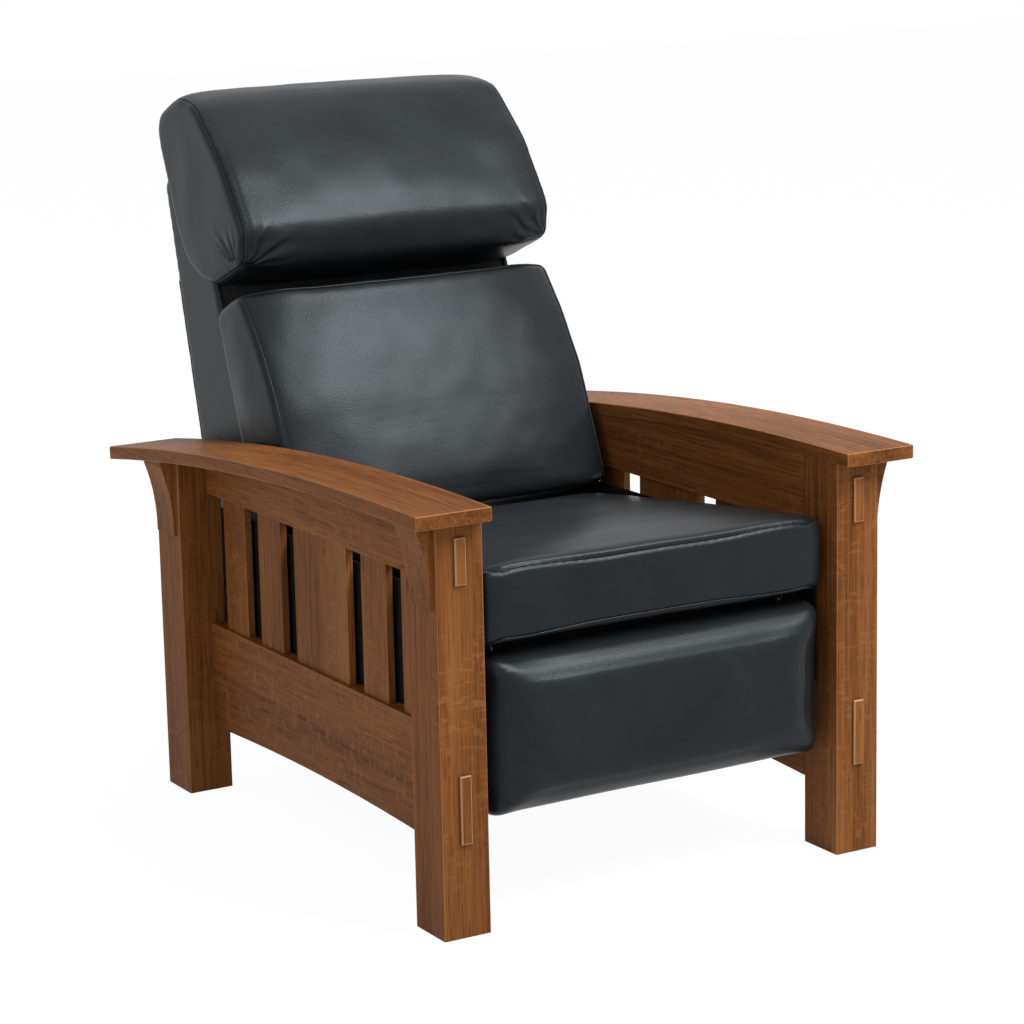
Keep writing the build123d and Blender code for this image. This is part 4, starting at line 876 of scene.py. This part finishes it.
def make_headrest():
    """The headrest: a stuffed roll with sewn end panels and puckers at its lower corners."""
    low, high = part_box("headrest")
    piece = skin_of("headrest_leather", "headrest", cushion_voxel, cushion_relax_rounds)
    seams = []
    for across in (low.x + headrest_seam_inset, high.x - headrest_seam_inset):
        seams.append(evened(slice_loop(piece, across), seam_sample, True))
    normals = normals_of(piece)
    places = points_of(piece)
    in_shell = np.abs(places[:, 0]) < corner("back_shell", 1).x + 0.004
    inside = in_shell & (normals[:, 1] > 0.2) & (normals[:, 2] < 0.3)
    held = inside | (np.abs(normals[:, 0]) > 0.93)
    inflate(piece, seams, held, cushion_pressure, back_swell)
    refined(piece)
    undulate(piece, 0.16, 0.0018, 5)
    undulate(piece, 0.06, 0.0010, 6)
    tree = tree_of(piece)
    seams = [laid_on(tree, seam)[0] for seam in seams]
    for side, seam in zip((-1.0, 1.0), seams):
        front = min(seam, key=lambda point: point.y + 0.35 * point.z)
        root = front + Vector((0.0, 0.004, -0.012))
        pleat(piece, root, Vector((-side * 0.8, 0.1, 0.75)), 1.0, 0.12, 5.0, 0.0028, 7.0 + side)
        panel_root = root + Vector((side * 0.006, 0.012, 0.0))
        pleat(piece, panel_root, Vector((0.0, 0.55, 0.85)), 0.9, 0.07, 4.0, 0.0016, 9.0 + side)
    inner = []
    for side, seam in zip((-1.0, 1.0), seams):
        inward = Vector((-side * headrest_line_offset, 0.0, 0.0))
        inner.append(laid_on(tree, [point + inward for point in seam])[0])
    sew(piece, seams, headrest_seam_depth)
    sew(piece, inner, headrest_line_depth)
    finish_cushion(piece, "headrest", "backrest", leather("headrest_leather", 2))
    tree = tree_of(piece)
    # The end seams' dark lines are painted shade in their grooves
    for side, path in zip(("left", "right"), seams):
        line = evened(laid_on(tree, path)[0], seam_sample, True)
        add_piping(f"headrest_seam_{side}", line, "backrest", groove_shade_line, groove_shade_radius)
    lines = []
    for path in inner:
        line, _ = laid_on(tree, path, stitch_radius * 0.3)
        lines.append((evened(line, seam_sample, True), True))
    stitches("headrest_stitches", lines, "backrest")


def furthest(loop, way):
    """Index of the loop's point that lies furthest in a direction."""
    reach = [point.dot(way) for point in loop]
    return reach.index(max(reach))


def face_outline(piece, low, high):
    """The sewn outline of the back cushion's face: up one end, over the top edge, down the other end."""
    top_way = Vector((0.0, -0.25, 0.97))
    bottom_way = Vector((0.0, -0.86, -0.5))
    parts = []
    for across in (low.x + face_seam_inset, high.x - face_seam_inset):
        loop = slice_loop(piece, across)
        first, last = furthest(loop, bottom_way), furthest(loop, top_way)
        if first > last:
            first, last = last, first
        between = loop[first:last + 1]
        around = loop[last:] + loop[:first + 1]
        front = min((between, around), key=lambda points: sum(point.y for point in points) / len(points))
        if front[0].z > front[-1].z:
            front.reverse()
        parts.append(front)
    top = []
    for share in face_top_shares:
        loop = slice_loop(piece, low.x + share * (high.x - low.x))
        top.append(loop[furthest(loop, top_way)])
    left, right = parts
    return evened(left + top + right[::-1], seam_sample, False)


def make_back_cushion():
    """The lower back cushion: crowned face, boxed sides, a thin welt round the face."""
    low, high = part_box("back_cushion")
    piece = skin_of("back_cushion_leather", "back_cushion", cushion_voxel, cushion_relax_rounds)
    seam = face_outline(piece, low, high)
    normals = normals_of(piece)
    held = (normals[:, 1] > 0.6) | (normals[:, 2] < -0.75)
    inflate(piece, [seam], held, cushion_pressure, back_swell)
    refined(piece)
    undulate(piece, 0.15, 0.0018, 8)
    undulate(piece, 0.05, 0.0008, 9)
    tree = tree_of(piece)
    seam, _ = laid_on(tree, seam)
    sew(piece, [seam], face_seam_depth)
    finish_cushion(piece, "back_cushion", "backrest", leather("back_leather", 3))
    tree = tree_of(piece)
    welt, _ = laid_on(tree, seam, piping_radius * 0.45)
    welt = evened(welt, seam_sample, False)
    add_piping("back_cushion_welt", welt, "backrest", welt_leather, closed=False)


def make_footrest():
    """The footrest pad: a plain stretched cover over foam."""
    piece = skin_of("footrest_leather", "footrest_pad", cushion_voxel, footrest_relax_rounds)
    held = normals_of(piece)[:, 1] > 0.1
    no_seam = [[Vector((0.0, 9.0, 9.0))]]
    inflate(piece, no_seam, held, footrest_pressure, footrest_swell)
    refined(piece)
    undulate(piece, 0.2, 0.0022, 12)
    finish_cushion(piece, "footrest_pad", "footrest", leather("footrest_leather", 4))


def make_shell():
    """The upholstered shell of the back, with welts down its rear corners."""
    low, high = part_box("back_shell")
    piece = skin_of("back_shell_leather", "back_shell", shell_voxel, shell_relax_rounds)
    piece.data.polygons.foreach_set("use_smooth", [True] * len(piece.data.polygons))
    finish_cushion(piece, "back_shell", "backrest", leather("shell_leather", 5))
    tree = tree_of(piece)
    for label, side in (("left", -1.0), ("right", 1.0)):
        route = []
        for step in range(shell_welt_steps + 1):
            climb = shell_welt_share * (high.z - low.z) * step / shell_welt_steps
            height = low.z + shell_welt_start + climb
            rear = tree.ray_cast(Vector((0.0, 3.0, height)), Vector((0.0, -1.0, 0.0)))[0]
            beside = side * (high.x + shell_corner_reach)
            route.append(Vector((beside, rear.y + shell_corner_reach, height)))
        welt = evened(laid_on(tree, route, piping_radius * 0.3)[0], seam_sample, False)
        add_piping(f"shell_welt_{label}", welt, "backrest", welt_leather, closed=False)


def make_gap_shade_sheet():
    """A black sheet across the front of the shell, between the back cushion and the headrest: painted shade
    in the gap between them, where the frame would show.
    """
    shell_low, shell_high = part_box("back_shell")
    half = shell_high.x - shell_wall
    places = []
    for height in (corner("back_cushion", 1).z - gap_shade_sheet_lap, corner("headrest", 0).z + gap_shade_sheet_lap):
        front = shell_low.y + (height - shell_low.z) * math.tan(math.radians(shell_front_lean))
        for depth in gap_shade_sheet_depths:
            places += [(-half, front + depth, height), (half, front + depth, height)]
    faces = [(0, 1, 5, 4), (3, 2, 6, 7), (2, 0, 4, 6), (1, 3, 7, 5), (2, 3, 1, 0), (4, 5, 7, 6)]
    mesh = bpy.data.meshes.new("gap_shade_sheet")
    mesh.from_pydata(places, [], faces)
    # The deck's black felt, used here as painted shade in the gap
    mesh.materials.append(deck_felt)
    piece = new_piece("gap_shade_sheet", mesh)
    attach(piece, "backrest")


welt_leather = leather("welt_leather", 6)
make_seat()
make_headrest()
make_back_cushion()
make_footrest()
make_shell()
make_gap_shade_sheet()

# Floor, backdrop, light and camera


def make_floor():
    """A pale floor that keeps the chair's shadow."""
    mesh = bpy.data.meshes.new("floor")
    reach = 14.0
    corners = [(-reach, -reach, 0.0), (reach, -reach, 0.0), (reach, reach, 0.0), (-reach, reach, 0.0)]
    mesh.from_pydata(corners, [], [(0, 1, 2, 3)])
    floor = new_piece("floor", mesh)
    finish = Finish("floor_white")
    finish.shade(Base_Color=(0.8, 0.8, 0.8), Roughness=0.85)
    finish.surface.inputs["Specular IOR Level"].default_value = 0.0
    plain = finish.tree.nodes.new("ShaderNodeEmission")
    plain.inputs["Strength"].default_value = floor_glow
    path = finish.tree.nodes.new("ShaderNodeLightPath")
    seen = Wire(finish, path.outputs["Is Camera Ray"]) + Wire(finish, path.outputs["Is Glossy Ray"])
    seen = (seen + Wire(finish, path.outputs["Is Transmission Ray"])).clamped() * floor_whiteness
    mix = finish.tree.nodes.new("ShaderNodeMixShader")
    finish.feed(mix.inputs[0], seen)
    finish.tree.links.new(finish.surface.outputs[0], mix.inputs[1])
    finish.tree.links.new(plain.outputs[0], mix.inputs[2])
    output = next(node for node in finish.tree.nodes if node.type == "OUTPUT_MATERIAL")
    finish.tree.links.new(mix.outputs[0], output.inputs["Surface"])
    mesh.materials.append(finish.material)


def make_world():
    """An even pale surround, plain white to the camera."""
    world = bpy.data.worlds.new("surround")
    scene.world = world
    world.use_nodes = True
    tree = world.node_tree
    tree.nodes.clear()
    output = tree.nodes.new("ShaderNodeOutputWorld")
    seen = tree.nodes.new("ShaderNodeBackground")
    seen.inputs["Color"].default_value = (1.0, 1.0, 1.0, 1.0)
    seen.inputs["Strength"].default_value = 1.0
    lit = tree.nodes.new("ShaderNodeBackground")
    lit.inputs["Color"].default_value = (0.95, 0.97, 1.0, 1.0)
    lit.inputs["Strength"].default_value = 0.46
    path = tree.nodes.new("ShaderNodeLightPath")
    glossy = tree.nodes.new("ShaderNodeMath")
    tree.links.new(path.outputs["Is Camera Ray"], glossy.inputs[0])
    tree.links.new(path.outputs["Is Glossy Ray"], glossy.inputs[1])
    clear = tree.nodes.new("ShaderNodeMath")
    clear.use_clamp = True
    tree.links.new(glossy.outputs[0], clear.inputs[0])
    tree.links.new(path.outputs["Is Transmission Ray"], clear.inputs[1])
    mix = tree.nodes.new("ShaderNodeMixShader")
    tree.links.new(clear.outputs[0], mix.inputs[0])
    tree.links.new(lit.outputs[0], mix.inputs[1])
    tree.links.new(seen.outputs[0], mix.inputs[2])
    tree.links.new(mix.outputs[0], output.inputs["Surface"])


def add_lamp(name, place, size, power, colour=(1.0, 1.0, 1.0)):
    """A soft box aimed at the chair."""
    lamp = bpy.data.lights.new(name, "AREA")
    lamp.shape = "RECTANGLE"
    lamp.size, lamp.size_y = size
    lamp.energy = power
    lamp.color = colour
    holder = bpy.data.objects.new(name, lamp)
    scene.collection.objects.link(holder)
    holder.location = place
    aim = Vector((0.0, 0.0, 0.55)) - Vector(place)
    holder.rotation_euler = aim.to_track_quat("-Z", "Y").to_euler()


def make_camera():
    """The photograph's viewing angle."""
    azimuth = math.radians(camera_azimuth)
    height = math.radians(camera_height_angle)
    roll = math.radians(camera_roll)
    level = math.cos(height)
    back = Vector((math.sin(azimuth) * level, -math.cos(azimuth) * level, math.sin(height)))
    right = Vector((math.cos(azimuth), math.sin(azimuth), 0.0))
    up = back.cross(right)
    across = right * math.cos(roll) + up * math.sin(roll)
    upward = up * math.cos(roll) - right * math.sin(roll)
    place = behind_legs(*camera_aim) + back * camera_distance
    data = bpy.data.cameras.new("camera")
    data.sensor_width = sensor_width
    data.lens = camera_focal_pixels / picture_width * sensor_width
    data.clip_end = 60.0
    camera = bpy.data.objects.new("camera", data)
    scene.collection.objects.link(camera)
    turn = Matrix((across, upward, back)).transposed()
    camera.matrix_world = Matrix.Translation(place) @ turn.to_4x4()
    scene.camera = camera


make_floor()
make_world()
add_lamp("key", (1.25, -2.2, 3.4), (1.5, 1.9), 185.0)
add_lamp("side", (-3.4, -1.9, 2.0), (2.2, 2.2), 24.0)
add_lamp("top", (0.0, 1.0, 3.8), (3.0, 2.4), 22.0)
make_camera()
scene.view_settings.view_transform = "Standard"
